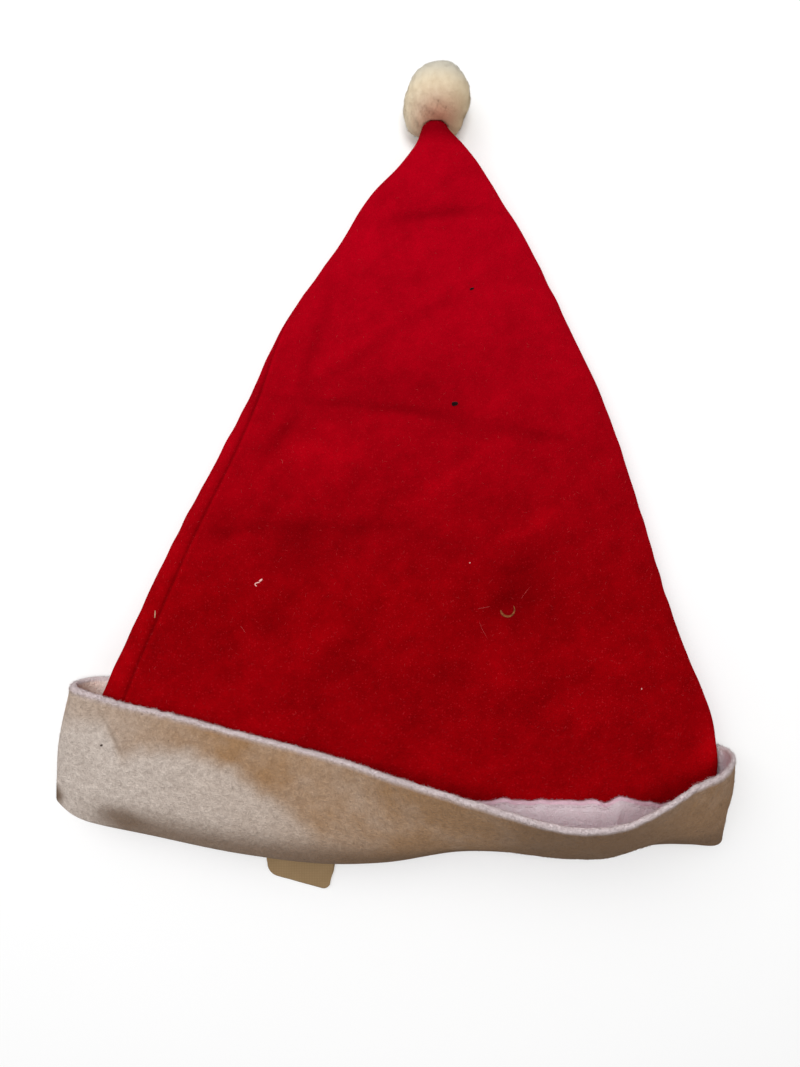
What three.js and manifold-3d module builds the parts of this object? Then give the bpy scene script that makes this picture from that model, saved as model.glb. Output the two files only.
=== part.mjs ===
// A Santa hat of felt, lying on its back: a hollow red crown, a turned-up white cuff,
// a pompom on the tip and a bare tab sewn inside the back of the mouth.
// Millimetres, +Z up. It lies on the plane z = 0 with its tip towards +Y and its front facing up.

import * as THREE from 'three';
import { mergeVertices } from 'three/addons/utils/BufferGeometryUtils.js';
import Module from 'manifold-3d';

const wasm = await Module();
wasm.setup();

const { clamp, degToRad, lerp, smoothstep } = THREE.MathUtils;

// Felt and gaps
const CROWN_WALL = 1.6;
const CUFF_WALL = 2.4;
const TAB_WALL = 0.8;
const SEWN_GAP = 0.3;
const FOLD_RADIUS = 1.5; // of the cuff's bottom fold, at the middle of its felt

// The cuff's two layers, as distances outward from the crown
const CUFF_INNER = SEWN_GAP + CUFF_WALL / 2;
const CUFF_OUTER = CUFF_INNER + 2 * FOLD_RADIUS;
const CUFF_STACK = CUFF_OUTER + CUFF_WALL / 2;

// Crown sections from the mouth to the tip: where each lies, its two side folds and its thickness
const CROWN_SECTIONS = [
  { along: -166, left: -145, right: 134, thick: 11.5 },
  { along: -146, left: -144.5, right: 138, thick: 15 },
  { along: -123, left: -140, right: 140.5, thick: 18 },
  { along: -105, left: -134, right: 137.5, thick: 19 },
  { along: -70, left: -119, right: 126.5, thick: 20 },
  { along: -34, left: -101.5, right: 117, thick: 21 },
  { along: 2, left: -84, right: 106, thick: 20 },
  { along: 37, left: -65, right: 93.5, thick: 18 },
  { along: 73, left: -48, right: 77, thick: 16 },
  { along: 109, left: -23, right: 60, thick: 13 },
  { along: 127, left: -10, right: 47, thick: 11.5 },
  { along: 140, left: 4, right: 36, thick: 10 },
  { along: 148, left: 10, right: 29.5, thick: 9 },
  { along: 154, left: 13, right: 25.5, thick: 8 },
  { along: 160, left: 15.5, right: 23, thick: 5.5 },
];
const TIP_END = 160;
const TIP_ROUND = 1; // how far the blunt tip bulges past its last section
const HOLLOW_END = 146; // where the crown's hollow stops
const EDGE_SHARE = 0.35; // height of the side folds as a share of a section's thickness
const CORNER_REACH = 14; // how far a side fold curves in under the back
const CORNER_SHARE = 0.6; // the same, as the most of a section's half width

// The back lies on the cuff near the mouth, then on the surface, and rises to the pompom at the tip
const BACK_DROP = { from: -84, to: -36 };
const TIP_RISE = { from: 60, to: 165, height: 17.2, power: 2.2 };

// Side seam: a groove that runs from the mouth and turns to the left side fold on its way up
const SEAM_ANGLE = 156.5;
const SEAM_TURN = { from: -20, to: 85, degrees: 23.5, power: 3 };
const SEAM_DEPTH = 0.8;
const SEAM_FADE = { from: 120, to: 145 };
const SEAM_HALF_WIDTH = 2.2; // in degrees round the section

// Creases and dents pressed into the crown's front: middle, half length, half width, depth and turn
const CROWN_DENTS = [
  { x: 22, y: 117, reach: 24, width: 5, depth: 0.9, turn: 4 },
  { x: 9, y: 32, reach: 36, width: 6, depth: 1, turn: -8 },
  { x: -53, y: 28, reach: 13, width: 6, depth: 1.6, turn: 58 },
  { x: -45, y: -27, reach: 16, width: 12, depth: 1.2, turn: 20 },
  { x: 55, y: -42, reach: 18, width: 13, depth: 1.2, turn: -30 },
];

// The cuff at angles round the mouth, 0 at the right, 90 at the front: its sewn edge, bottom fold
// and rim along the hat, how far the rim stands off the crown, and how far the wall bellies out
const CUFF_TURNS = [
  { around: 0, seam: -136, fold: -158, rim: -120, lift: 4.8, belly: 1 },
  { around: 12, seam: -137, fold: -158.5, rim: -120, lift: 14, belly: 3 },
  { around: 24, seam: -138, fold: -157, rim: -120, lift: 21.5, belly: 5 },
  { around: 35, seam: -138, fold: -156, rim: -123, lift: 28, belly: 5 },
  { around: 43, seam: -137.5, fold: -157.5, rim: -128.5, lift: 33, belly: 5 },
  { around: 52, seam: -135.5, fold: -160, rim: -136, lift: 35.5, belly: 5 },
  { around: 62, seam: -136, fold: -159.5, rim: -136.5, lift: 36, belly: 5 },
  { around: 77, seam: -136, fold: -157.5, rim: -127, lift: 31, belly: 5 },
  { around: 90, seam: -136, fold: -161, rim: -121, lift: 19, belly: 4 },
  { around: 100, seam: -136, fold: -162, rim: -116, lift: 9, belly: 3 },
  { around: 114, seam: -133, fold: -159, rim: -108.5, lift: 5, belly: 2.5 },
  { around: 136, seam: -127, fold: -151.5, rim: -98, lift: 5, belly: 2.5 },
  { around: 157, seam: -123, fold: -147, rim: -92.5, lift: 5.5, belly: 3 },
  { around: 180, seam: -118, fold: -140, rim: -89, lift: 10.5, belly: 1 },
  { around: 193, seam: -119, fold: -142, rim: -88, lift: CUFF_OUTER, belly: 0 },
  { around: 225, seam: -126, fold: -150, rim: -91, lift: CUFF_OUTER, belly: 0 },
  { around: 270, seam: -133, fold: -157, rim: -104, lift: CUFF_OUTER, belly: 0 },
  { around: 315, seam: -136, fold: -159, rim: -114, lift: CUFF_OUTER, belly: 0 },
  { around: 345, seam: -135, fold: -157, rim: -119, lift: CUFF_OUTER, belly: 0 },
];
const FLAT_BACK = { from: 193, to: 345 }; // angles between which the cuff lies flat under the hat
const SEWN_OVERLAP = 8; // how far the crown reaches down inside the cuff's sewn edge

// Small gathers of the sewn edge where it shows above the rim: angle, half width and rise
const GATHERS = [
  { around: 71, spread: 2.5, rise: 1 },
  { around: 64, spread: 2.5, rise: 0.8 },
  { around: 48, spread: 2, rise: 1.4 },
];

// Pompom
const POMPOM_CENTRE = new THREE.Vector3(19, 167.5, 14.2);
const POMPOM_RADIUS = 15.2;
const POMPOM_HEAD = 13.6; // radius of the packed head under the locks
const LOCK_COUNT = 38;
const LOCK_WIDTH = 9;
const LOCK_LENGTH = 13;
const LOCK_UNEVEN = 0.6; // how much shorter a lock may be
const LOCK_WAVES = 3; // of longer and shorter locks in each turn round the ball
const TIP_ROOM = { from: 136, gap: 0.4, steps: 8 }; // the parting that takes the crown's tip

// Tab: its middle line from the inside of the mouth, over the fold and down to the surface
const TAB_LINE = [
  { x: -41, y: -140, z: 6.3 },
  { x: -42, y: -150, z: 6.3 },
  { x: -43, y: -158.5, z: 6.1 },
  { x: -43.5, y: -164, z: 4.2 },
  { x: -43.5, y: -168.5, z: 1.4 },
  { x: -43.5, y: -173, z: 0.5 },
  { x: -43, y: -179, z: 0.4 },
];
const TAB_WIDTH = 32;
const TAB_END_WIDTH = 25;
const TAB_SKEW = -0.27; // slope of the tab's end across its width
const TAB_STEPS = { along: 9, across: 3 };

// Fineness of the surfaces
const COLUMN_COUNT = 54;
const CROWN_ROWS = 34;
const HOLLOW_ROWS = 14;
const ROW_CROWDING = 1.25; // above 1 the rows crowd towards the tip
const CUFF_STEPS = { inner: 2, fold: 4, outer: 5, end: 2 };
const BALL_DETAIL = { head: 3, lock: 1 };
const LOCK_AXIS = new THREE.Vector3(0, 1, 0);
const GOLDEN_ANGLE = Math.PI * (3 - Math.sqrt(5));
const NORMAL_STEP = degToRad(0.4);

// Returns a function that reads every other column of a table at any value of its key column.
function tableReader(rows, key) {
  const columns = Object.keys(rows[0]).filter((name) => name !== key);
  const places = rows.map((row) => row[key]);
  const values = rows.flatMap((row) => columns.map((name) => row[name]));
  const spline = new THREE.CubicInterpolant(places, values, columns.length);
  return (place) => {
    const found = spline.evaluate(place);
    return Object.fromEntries(columns.map((name, index) => [name, found[index]]));
  };
}

// The same for a table that goes round a full turn.
function ringReader(rows) {
  const turned = (degrees) => rows.map((row) => ({ ...row, around: row.around + degrees }));
  return tableReader([...turned(-360), ...rows, ...turned(360)], 'around');
}

const readCrown = tableReader(CROWN_SECTIONS, 'along');
const readCuff = ringReader(CUFF_TURNS);

// The bell curve that shapes every dent and gather: 1 in the middle, 0.37 one width away.
function bell(distance, width) {
  return Math.exp(-((distance / width) ** 2));
}

// Skins a run of rings with equally many points. With two poles it closes at its ends, else on itself.
function skin(rings, poles) {
  const count = rings[0].length;
  const corner = (ring, place) => (ring % rings.length) * count + (place % count);
  const spans = poles ? rings.length - 1 : rings.length;
  const points = rings.flat();
  const faces = [];
  for (let ring = 0; ring < spans; ring += 1) {
    for (let place = 0; place < count; place += 1) {
      const here = corner(ring, place);
      const beside = corner(ring, place + 1);
      const across = corner(ring + 1, place + 1);
      const ahead = corner(ring + 1, place);
      faces.push(here, beside, across, here, across, ahead);
    }
  }
  if (poles) {
    const first = points.push(poles[0]) - 1;
    const last = points.push(poles[1]) - 1;
    for (let place = 0; place < count; place += 1) {
      faces.push(first, corner(0, place + 1), corner(0, place));
      faces.push(last, corner(rings.length - 1, place), corner(rings.length - 1, place + 1));
    }
  }
  const geometry = new THREE.BufferGeometry().setFromPoints(points);
  geometry.setIndex(faces);
  geometry.computeVertexNormals();
  return geometry;
}

// A closed geometry as a solid that can be joined and cut.
function solidOf(geometry) {
  const bare = geometry.clone();
  bare.deleteAttribute('normal');
  bare.deleteAttribute('uv');
  const merged = mergeVertices(bare);
  const vertProperties = Float32Array.from(merged.attributes.position.array);
  const triVerts = Uint32Array.from(merged.index.array);
  return new wasm.Manifold(new wasm.Mesh({ numProp: 3, vertProperties, triVerts }));
}

function geometryOf(solid) {
  const { vertProperties, triVerts } = solid.getMesh();
  const geometry = new THREE.BufferGeometry();
  geometry.setAttribute('position', new THREE.BufferAttribute(vertProperties, 3));
  geometry.setIndex(new THREE.BufferAttribute(triVerts, 1));
  geometry.computeVertexNormals();
  return geometry;
}

// Height of the crown's back above the surface.
function backHeight(along) {
  const onCuff = CUFF_STACK * (1 - smoothstep(along, BACK_DROP.from, BACK_DROP.to));
  const risen = clamp((along - TIP_RISE.from) / (TIP_RISE.to - TIP_RISE.from), 0, 1);
  return onCuff + TIP_RISE.height * risen ** TIP_RISE.power;
}

// Outside of a crown section at an angle: a half ellipse in front, two rounded corners and a flat back.
function crownSection(angle, along) {
  const { left, right, thick } = readCrown(along);
  const half = (right - left) / 2;
  const edgeRise = EDGE_SHARE * thick;
  const edge = backHeight(along) + edgeRise;
  const across = Math.cos(angle);
  const x = (left + right) / 2 + half * across;
  if (Math.sin(angle) >= 0) {
    return new THREE.Vector2(x, edge + (thick - edgeRise) * Math.sin(angle));
  }
  const corner = Math.min(CORNER_REACH, CORNER_SHARE * half);
  const inward = Math.min((half * (1 - Math.abs(across))) / corner, 1);
  return new THREE.Vector2(x, edge - edgeRise * Math.sqrt(1 - (1 - inward) ** 2));
}

// A point at a distance outward from the crown, never below the surface that the hat lies on.
function offCrown(angle, along, lift) {
  const before = crownSection(angle - NORMAL_STEP, along);
  const run = crownSection(angle + NORMAL_STEP, along).sub(before).normalize();
  const point = crownSection(angle, along);
  return new THREE.Vector3(point.x + run.y * lift, along, Math.max(point.y - run.x * lift, 0));
}

// Columns round the hat in degrees, counted from the seam, with two more beside the seam.
function columnAngles() {
  const step = 360 / COLUMN_COUNT;
  const even = Array.from({ length: COLUMN_COUNT - 1 }, (_, index) => (index + 1) * step);
  return [0, SEAM_HALF_WIDTH, ...even, 360 - SEAM_HALF_WIDTH].map((degrees) => SEAM_ANGLE + degrees);
}
const COLUMNS = columnAngles();

// The cuff's table at an angle, with the gathers added to its sewn edge.
function cuffTurn(degrees) {
  const around = THREE.MathUtils.euclideanModulo(degrees, 360);
  const turn = readCuff(around);
  if (around > FLAT_BACK.from && around < FLAT_BACK.to) {
    turn.lift = CUFF_OUTER;
    turn.belly = 0;
  }
  for (const gather of GATHERS) {
    turn.seam += gather.rise * bell(around - gather.around, gather.spread);
  }
  return turn;
}

// Depth of the dents and creases at a place on the crown's front.
function dentDepth(x, y) {
  let depth = 0;
  for (const dent of CROWN_DENTS) {
    const place = new THREE.Vector2(x - dent.x, y - dent.y);
    place.rotateAround(new THREE.Vector2(), -degToRad(dent.turn));
    depth += dent.depth * bell(place.x, dent.reach) * bell(place.y, dent.width);
  }
  return depth;
}

// Crown: rows of points up the outside to the tip, and down the inside from the end of the hollow.
function crownRing(share, end, wall) {
  return COLUMNS.map((column, index) => {
    const hem = cuffTurn(column).seam - SEWN_OVERLAP;
    const along = lerp(hem, end, share);
    const turned = clamp((along - SEAM_TURN.from) / (SEAM_TURN.to - SEAM_TURN.from), 0, 1);
    const angle = degToRad(column + SEAM_TURN.degrees * turned ** SEAM_TURN.power);
    const onFront = Math.max(Math.sin(angle), 0);
    const dent = dentDepth(crownSection(angle, along).x, along) * onFront;
    const groove = index === 0 ? SEAM_DEPTH * (1 - smoothstep(along, SEAM_FADE.from, SEAM_FADE.to)) : 0;
    return offCrown(angle, along, -wall - dent - groove);
  });
}

function crownRings(rows, end, wall) {
  const shares = Array.from({ length: rows + 1 }, (_, row) => 1 - (1 - row / rows) ** ROW_CROWDING);
  return shares.map((share) => crownRing(share, end, wall));
}

function middleOf(ring) {
  const sum = ring.reduce((total, point) => total.add(point), new THREE.Vector3());
  return sum.divideScalar(ring.length);
}

function makeCrown() {
  const outside = crownRings(CROWN_ROWS, TIP_END, 0).reverse();
  const inside = crownRings(HOLLOW_ROWS, HOLLOW_END, CROWN_WALL);
  const tip = middleOf(outside[0]).add(new THREE.Vector3(0, TIP_ROUND, 0));
  return skin([...outside, ...inside], [tip, middleOf(inside[inside.length - 1])]);
}

// Middle line of the cuff's felt at one angle, as distance off the crown and place along the hat:
// down the inner layer, round the fold until it aims at the rim, and out to the rim.
function cuffMiddle(turn) {
  const centre = new THREE.Vector2(CUFF_INNER + FOLD_RADIUS, turn.fold + FOLD_RADIUS);
  const rim = new THREE.Vector2(turn.lift, turn.rim);
  const toRim = rim.clone().sub(centre);
  const lastAngle = 2 * Math.PI + toRim.angle() - Math.acos(FOLD_RADIUS / toRim.length());
  const points = [];
  for (let step = 0; step < CUFF_STEPS.inner; step += 1) {
    const along = lerp(turn.seam, centre.y, step / CUFF_STEPS.inner);
    points.push(new THREE.Vector2(CUFF_INNER, along));
  }
  for (let step = 0; step <= CUFF_STEPS.fold; step += 1) {
    const angle = lerp(Math.PI, lastAngle, step / CUFF_STEPS.fold);
    points.push(new THREE.Vector2(Math.cos(angle), Math.sin(angle)).multiplyScalar(FOLD_RADIUS).add(centre));
  }
  const wallStart = points[points.length - 1];
  const wall = rim.clone().sub(wallStart).normalize();
  const outward = new THREE.Vector2(wall.y, -wall.x);
  for (let step = 1; step <= CUFF_STEPS.outer; step += 1) {
    const share = step / CUFF_STEPS.outer;
    const point = wallStart.clone().lerp(rim, share);
    points.push(point.addScaledVector(outward, turn.belly * Math.sin(Math.PI * share)));
  }
  return points;
}

// The felt's outline round a middle line: both faces and two rounded ends.
function feltOutline(middle, thickness) {
  const half = thickness / 2;
  const last = middle.length - 1;
  const runs = middle.map((point, index) => {
    const ahead = middle[Math.min(index + 1, last)];
    return ahead.clone().sub(middle[Math.max(index - 1, 0)]).normalize();
  });
  const around = (index, angle) => {
    const side = runs[index].clone().rotateAround(new THREE.Vector2(), angle);
    return middle[index].clone().addScaledVector(side, half);
  };
  const quarter = Math.PI / 2;
  const roundEnd = (index, from) => {
    const steps = Array.from({ length: CUFF_STEPS.end - 1 }, (_, step) => (step + 1) / CUFF_STEPS.end);
    return steps.map((share) => around(index, from + Math.PI * share));
  };
  const rightFace = middle.map((_, index) => around(index, -quarter));
  const leftFace = middle.map((_, index) => around(index, quarter)).reverse();
  return [...rightFace, ...roundEnd(last, -quarter), ...leftFace, ...roundEnd(0, quarter)];
}

function makeCuff() {
  const rings = COLUMNS.map((column) => {
    const outline = feltOutline(cuffMiddle(cuffTurn(column)), CUFF_WALL);
    return outline.map((place) => offCrown(degToRad(column), place.y, place.x));
  });
  return skin(rings);
}

// Pompom: a packed head with blunt locks spread evenly over it, flattened on the surface
// and parted round the crown's tip.
function makePompom() {
  const head = new THREE.IcosahedronGeometry(POMPOM_HEAD, BALL_DETAIL.head);
  head.translate(...POMPOM_CENTRE);
  let ball = solidOf(head);
  for (let index = 0; index < LOCK_COUNT; index += 1) {
    const height = 1 - (2 * index + 1) / LOCK_COUNT;
    const turn = index * GOLDEN_ANGLE;
    const reach = Math.sqrt(1 - height ** 2);
    const direction = new THREE.Vector3(reach * Math.cos(turn), reach * Math.sin(turn), height);
    const outer = POMPOM_RADIUS - (LOCK_UNEVEN / 2) * (1 + Math.sin(LOCK_WAVES * turn));
    const lock = new THREE.IcosahedronGeometry(0.5, BALL_DETAIL.lock);
    lock.scale(LOCK_WIDTH, LOCK_LENGTH, LOCK_WIDTH);
    lock.translate(0, outer - LOCK_LENGTH / 2, 0);
    lock.applyQuaternion(new THREE.Quaternion().setFromUnitVectors(LOCK_AXIS, direction));
    lock.translate(...POMPOM_CENTRE);
    ball = ball.add(solidOf(lock));
  }
  const side = 3 * POMPOM_RADIUS;
  const underneath = new THREE.BoxGeometry(side, side, side);
  underneath.translate(POMPOM_CENTRE.x, POMPOM_CENTRE.y, -side / 2);
  return geometryOf(ball.subtract(solidOf(underneath)).subtract(solidOf(makeTipRoom())));
}

// The crown's tip, swollen by the gap that the pompom keeps to it.
function makeTipRoom() {
  const rings = [];
  for (let step = 0; step <= TIP_ROOM.steps; step += 1) {
    const along = lerp(TIP_END, TIP_ROOM.from, step / TIP_ROOM.steps);
    rings.push(COLUMNS.map((column) => offCrown(degToRad(column), along, TIP_ROOM.gap)));
  }
  const end = middleOf(rings[0]).add(new THREE.Vector3(0, TIP_ROUND + TIP_ROOM.gap, 0));
  return skin(rings, [end, middleOf(rings[rings.length - 1])]);
}

// Tab: a thin strip that narrows towards a slanted end, carried along its middle line.
function makeTab() {
  const line = new THREE.CatmullRomCurve3(TAB_LINE.map(({ x, y, z }) => new THREE.Vector3(x, y, z)));
  const half = TAB_WALL / 2;
  const rings = [];
  for (let step = 0; step <= TAB_STEPS.along; step += 1) {
    const share = step / TAB_STEPS.along;
    const centre = line.getPointAt(share);
    const run = line.getTangentAt(share);
    const up = new THREE.Vector3(0, -run.z, run.y).normalize().multiplyScalar(-half);
    const width = lerp(TAB_WIDTH, TAB_END_WIDTH, share ** 3);
    const lower = [];
    const upper = [];
    for (let place = 0; place <= TAB_STEPS.across; place += 1) {
      const x = width * (place / TAB_STEPS.across - 0.5);
      const slant = new THREE.Vector3(x, TAB_SKEW * x * share ** 2, 0).add(centre);
      upper.unshift(slant.clone().add(up));
      lower.push(slant.clone().sub(up));
    }
    rings.push([...upper, ...lower]);
  }
  return skin(rings, [middleOf(rings[0]), middleOf(rings[rings.length - 1])]);
}

function felt(color, roughness) {
  return new THREE.MeshStandardMaterial({ color, roughness, metalness: 0 });
}

function piece(name, geometry, material) {
  const mesh = new THREE.Mesh(geometry, material);
  mesh.name = name;
  return mesh;
}

const hat = new THREE.Group();
hat.add(piece('crown', makeCrown(), felt(0xa00010, 0.95)));
hat.add(piece('cuff', makeCuff(), felt(0xd6c8bc, 0.95)));
hat.add(piece('pompom', makePompom(), felt(0xe6dccb, 0.95)));
hat.add(piece('tab', makeTab(), felt(0xb39c7a, 0.8)));

export default hat;
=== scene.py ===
import bpy
import numpy as np
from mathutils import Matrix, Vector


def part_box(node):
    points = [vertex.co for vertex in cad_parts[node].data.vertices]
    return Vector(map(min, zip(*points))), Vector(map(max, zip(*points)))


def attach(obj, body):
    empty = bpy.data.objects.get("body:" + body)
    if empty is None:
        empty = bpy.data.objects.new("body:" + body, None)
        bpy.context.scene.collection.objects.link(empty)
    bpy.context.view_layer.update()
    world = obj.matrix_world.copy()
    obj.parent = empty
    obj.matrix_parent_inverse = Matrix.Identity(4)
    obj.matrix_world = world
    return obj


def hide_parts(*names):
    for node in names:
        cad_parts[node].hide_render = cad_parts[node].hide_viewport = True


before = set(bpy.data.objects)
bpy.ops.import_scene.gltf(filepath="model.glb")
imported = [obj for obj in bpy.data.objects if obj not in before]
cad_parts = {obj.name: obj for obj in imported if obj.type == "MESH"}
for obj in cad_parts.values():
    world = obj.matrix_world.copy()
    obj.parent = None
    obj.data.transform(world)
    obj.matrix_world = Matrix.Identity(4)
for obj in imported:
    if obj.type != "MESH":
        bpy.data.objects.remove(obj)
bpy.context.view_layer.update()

bl_info = {
    "name": "Felt Santa Hat",
    "version": (1, 0, 0),
    "blender": (4, 5, 0),
    "location": "3D View > Sidebar > Santa Hat",
    "description": "Dresses a felt Santa hat that lies on its back",
    "category": "Add Mesh",
}

MM = 0.001  # the tables and shapes below are in millimetres, the meshes in metres
BODY = "root"
SEED = 2512
NO_QUADS = np.zeros((0, 4), int)
NO_TRIANGLES = np.zeros((0, 3), int)

# Soft unevenness: how many waves are summed, and how their lengths spread about the length asked for
WAVE_COUNT = 14
WAVE_SPREAD = (0.7, 1.5)

# Thickness of the felt, and the cuff's layers as distances outward from the crown
CROWN_WALL = 1.6
CUFF_WALL = 2.4
SEWN_GAP = 0.3
FOLD_RADIUS = 1.5
CUFF_INNER = SEWN_GAP + CUFF_WALL / 2
CUFF_OUTER = CUFF_INNER + 2 * FOLD_RADIUS
CUFF_STACK = CUFF_OUTER + CUFF_WALL / 2

# Crown sections from the mouth to the tip: place, two side folds and thickness
CROWN_COLUMNS = ("along", "left", "right", "thick")
CROWN_SECTIONS = (
    (-166, -145.5, 138.3, 11.5),
    (-146, -144.3, 140.8, 15),
    (-123, -138.4, 142.8, 18),
    (-105, -132.4, 140.8, 19),
    (-70, -117.7, 127.6, 20),
    (-34, -102, 117, 21),
    (2, -83.4, 106, 20),
    (37, -65, 94, 18),
    (73, -48, 77.5, 16),
    (109, -22.4, 59, 13),
    (127, -10.5, 46.7, 11.5),
    (140, 3.2, 37.7, 10),
    (148, 9.8, 30.5, 9),
    (154, 12.6, 24.2, 7.4),
    (158, 14.4, 22.6, 5.5),
)
TIP_END = 156.5
TIP_ROUND = 1
HOLLOW_END = 146
EDGE_SHARE = 0.35
CORNER_REACH = 14
CORNER_SHARE = 0.6
BACK_DROP = (-84, -36)
TIP_RISE = {"start": 60, "end": 165, "height": 17.2, "power": 2.2}
SLOPE_STEP = 0.4  # degrees to each side, over which the section's slope is taken
ROW_CROWDING = 1.25

# Waves of the crown's felt over its front and along its side folds, which are told apart by a distance
CROWN_WAVES = {"long": 46, "short": 17, "share": 0.3}
SIDE_WAVES = {"length": 15, "width": 0.25, "apart": 300}

# Side seam on the left of the front: it turns to the side fold on its way up
SEAM_ANGLE = 156.5
SEAM_TURN = {"start": -20, "end": 85, "degrees": 23.5, "power": 3}
SEAM_FADE = (50, 120)
SEAM_SIDE = {"middle": 168, "reach": 30}
SEAM_FORM = {
    "groove_width": 0.5,
    "lip": 0.5,
    "lip_place": 1.3,
    "lip_width": 0.7,
    "pucker": 0.35,
    "pucker_length": 4.2,
    "roll": 0.8,
    "roll_place": 4,
    "roll_width": 2.8,
}
# Painted shade in the seam's groove, and painted light on its lip and on the strip beside the seam
SEAM_SHADE = {
    "groove": 0.22,
    "groove_width": 0.9,
    "lip": 0.13,
    "lip_place": 2,
    "lip_width": 0.8,
    "strip": 0.17,
    "strip_start": (1, 4),
    "strip_end": (14, 22),
}

# Columns of points round the crown, in degrees from the right fold: start, end and how many
COLUMN_RUNS = (
    (-24, 148, 236),
    (148, 165, 64),
    (165, 190, 40),
    (190, 336, 60),
)

# Creases, dents and, with a depth below zero, ridges in the front: middle, half length, half width,
# depth and turn in degrees
DENT_COLUMNS = ("x", "y", "reach", "width", "depth", "turn")
CROWN_DENTS = (
    (18, 117, 20, 2.6, 1.1, 7),
    (26.4, 131.9, 9, 2.2, 0.5, 33),
    (-4, 62, 36, 2.8, 0.3, 34),
    (-7, 67, 36, 2.8, -0.3, 34),
    (-36, 58, 24, 3, 0.6, 72),
    (-48.5, 22, 13, 3.2, 1.0, 53),
    (10, 30.8, 21, 2.6, 1.0, -9),
    (-1.3, 41, 30, 8, 0.5, 0),
    (-27, 35, 18, 2.4, 0.6, -4),
    (61, 21.4, 21, 3.2, 0.7, -10),
    (-35, 13.5, 15, 9, -0.7, 0),
    (-40, -19, 42, 3.8, 0.55, 2),
    (-41, -29, 12, 11, 0.95, 0),
    (-15.3, -20.5, 8, 4, 0.7, 0),
    (-75.8, -21.8, 7, 4, 0.7, 20),
    (22.8, 0.8, 28, 3.8, -0.7, 33),
    (64, -16, 15, 4, -0.8, 33),
    (56.2, -45, 20, 13, 0.9, 55),
    (50.5, -51.2, 8, 7, 0.5, 0),
    (20, -26, 23, 4.5, 0.6, -15),
    (-51, -61.8, 8, 5, 0.7, 0),
    (-18.3, -80, 13, 5, 0.6, 15),
    (24.3, -81.4, 14, 4, 0.5, 20),
    (46.8, -81.4, 5, 8, -0.6, 0),
    (89.4, -100, 13, 7, -0.6, 0),
    (92.4, -77, 12, 7, -0.6, 0),
    (3, -50, 12, 8, -0.5, 0),
    (-33, -67, 14, 5, -0.5, 25),
)

# Painted shade of the red: dark for each mm of dent, painted light above the cuff's rim against the shade
# that the rim casts there, and a painted shadow of the pompom on the tip
DENT_SHADE = 0.29
FRONT_EDGE = 8  # how sharply the shade of the front stops at the side folds
RIM_LIGHT = {"amount": 0.13, "fade": (3, 20), "corner": 0.4, "corner_angle": 12, "corner_reach": 14}
TIP_SHADE = {"amount": 0.45, "fade": (145, 153)}

# Red along the hat, in metres: where it turns to the tip's brighter red, which is partly painted light
# falling off from the tip towards the mouth and partly the tip's own bluer red, and where and how much
# its specks show
BRIGHT_SPAN = (-0.05, 0.12)
RED_SPECK_SPAN = (-0.1, 0.1)
RED_SPECK_SHARES = (0.3, 0.1)
NOISE_SPAN = (0.3, 0.7)  # values that most of a noise pattern lies between

# The cuff at angles round the mouth, 0 at the right, 90 at the front: its sewn edge, bottom fold
# and rim along the hat, how far the rim stands off the crown and how far the wall bellies out
CUFF_COLUMNS = ("around", "seam", "fold", "rim", "lift", "belly")
CUFF_TURNS = (
    (0, -136, -157.8, -117, 2.6, 0.2),
    (12, -137.5, -157.2, -118.6, 11.8, 2.6),
    (24, -139, -155.8, -121, 21.5, 5),
    (35, -140, -155.3, -123.3, 28, 5),
    (43, -138.4, -157, -128.5, 33, 5),
    (52, -137.8, -159, -135.6, 35.5, 5),
    (62, -137.4, -158.6, -136, 36, 5),
    (77, -137.4, -157, -127.8, 31, 5),
    (90, -136, -162, -121.6, 19, 4),
    (100, -136, -162.7, -116.8, 9, 3),
    (114, -133, -159, -109.7, 5, 2.5),
    (136, -127, -150.4, -99.8, 5, 2.5),
    (157, -123, -145, -94.6, 5.5, 3),
    (180, -118, -138.5, -88, 13.8, 0.2),
    (193, -119, -142, -88, CUFF_OUTER, 0),
    (225, -126, -150, -91, CUFF_OUTER, 0),
    (270, -133, -157, -104, CUFF_OUTER, 0),
    (315, -136, -159, -114, CUFF_OUTER, 0),
    (345, -135, -157, -117.5, CUFF_OUTER, 0),
)
FLAT_BACK = (193, 345)
FRONT_SPAN = (-12, 195)
SEWN_OVERLAP = 8
SEAM_WAVER = {"height": 0.22, "length": 10, "pace": 2.4, "belly": 3}

# Points along the cuff's felt: down the inner layer, round the fold, up the wall and round each end
INNER_POINTS = 12
INNER_CROWDING = 1.5
FOLD_POINTS = 9
WALL_POINTS = 44
END_POINTS = 5

# Form of the cuff's felt: its waves, with mm for each radian as their pace, the depth and width of the
# stitched groove in mm, and the rest by shares up the inner layer or up the wall
RIM_WAVES = {"length": 11, "pace": 141}
CUFF_WAVES = {"long": 52, "short": 15, "share": 0.3, "pace": 120}
GATHER_HUMP = {"end": 0.98, "power": 0.7}
SWELL_SPAN = (0.9, 0.97)
STITCH_GROOVE = {"depth": 0.35, "width": 0.6, "start": 0.01}
CREASED_SPAN = (0, 0.1)

# Gathers of the sewn edge where it shows above the rim: angle, half width, rise and ridge height
GATHER_COLUMNS = ("around", "spread", "rise", "ridge")
GATHERS = (
    (70.5, 1.8, 0.9, 0.6),
    (67.2, 0.9, 0.4, 0.9),
    (63.6, 1.1, 0.5, 0.9),
    (49.9, 1.2, -1.0, -0.3),
    (47.2, 1.3, 1.4, 1.7),
    (44.6, 2.4, 0.9, 0.6),
)

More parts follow.
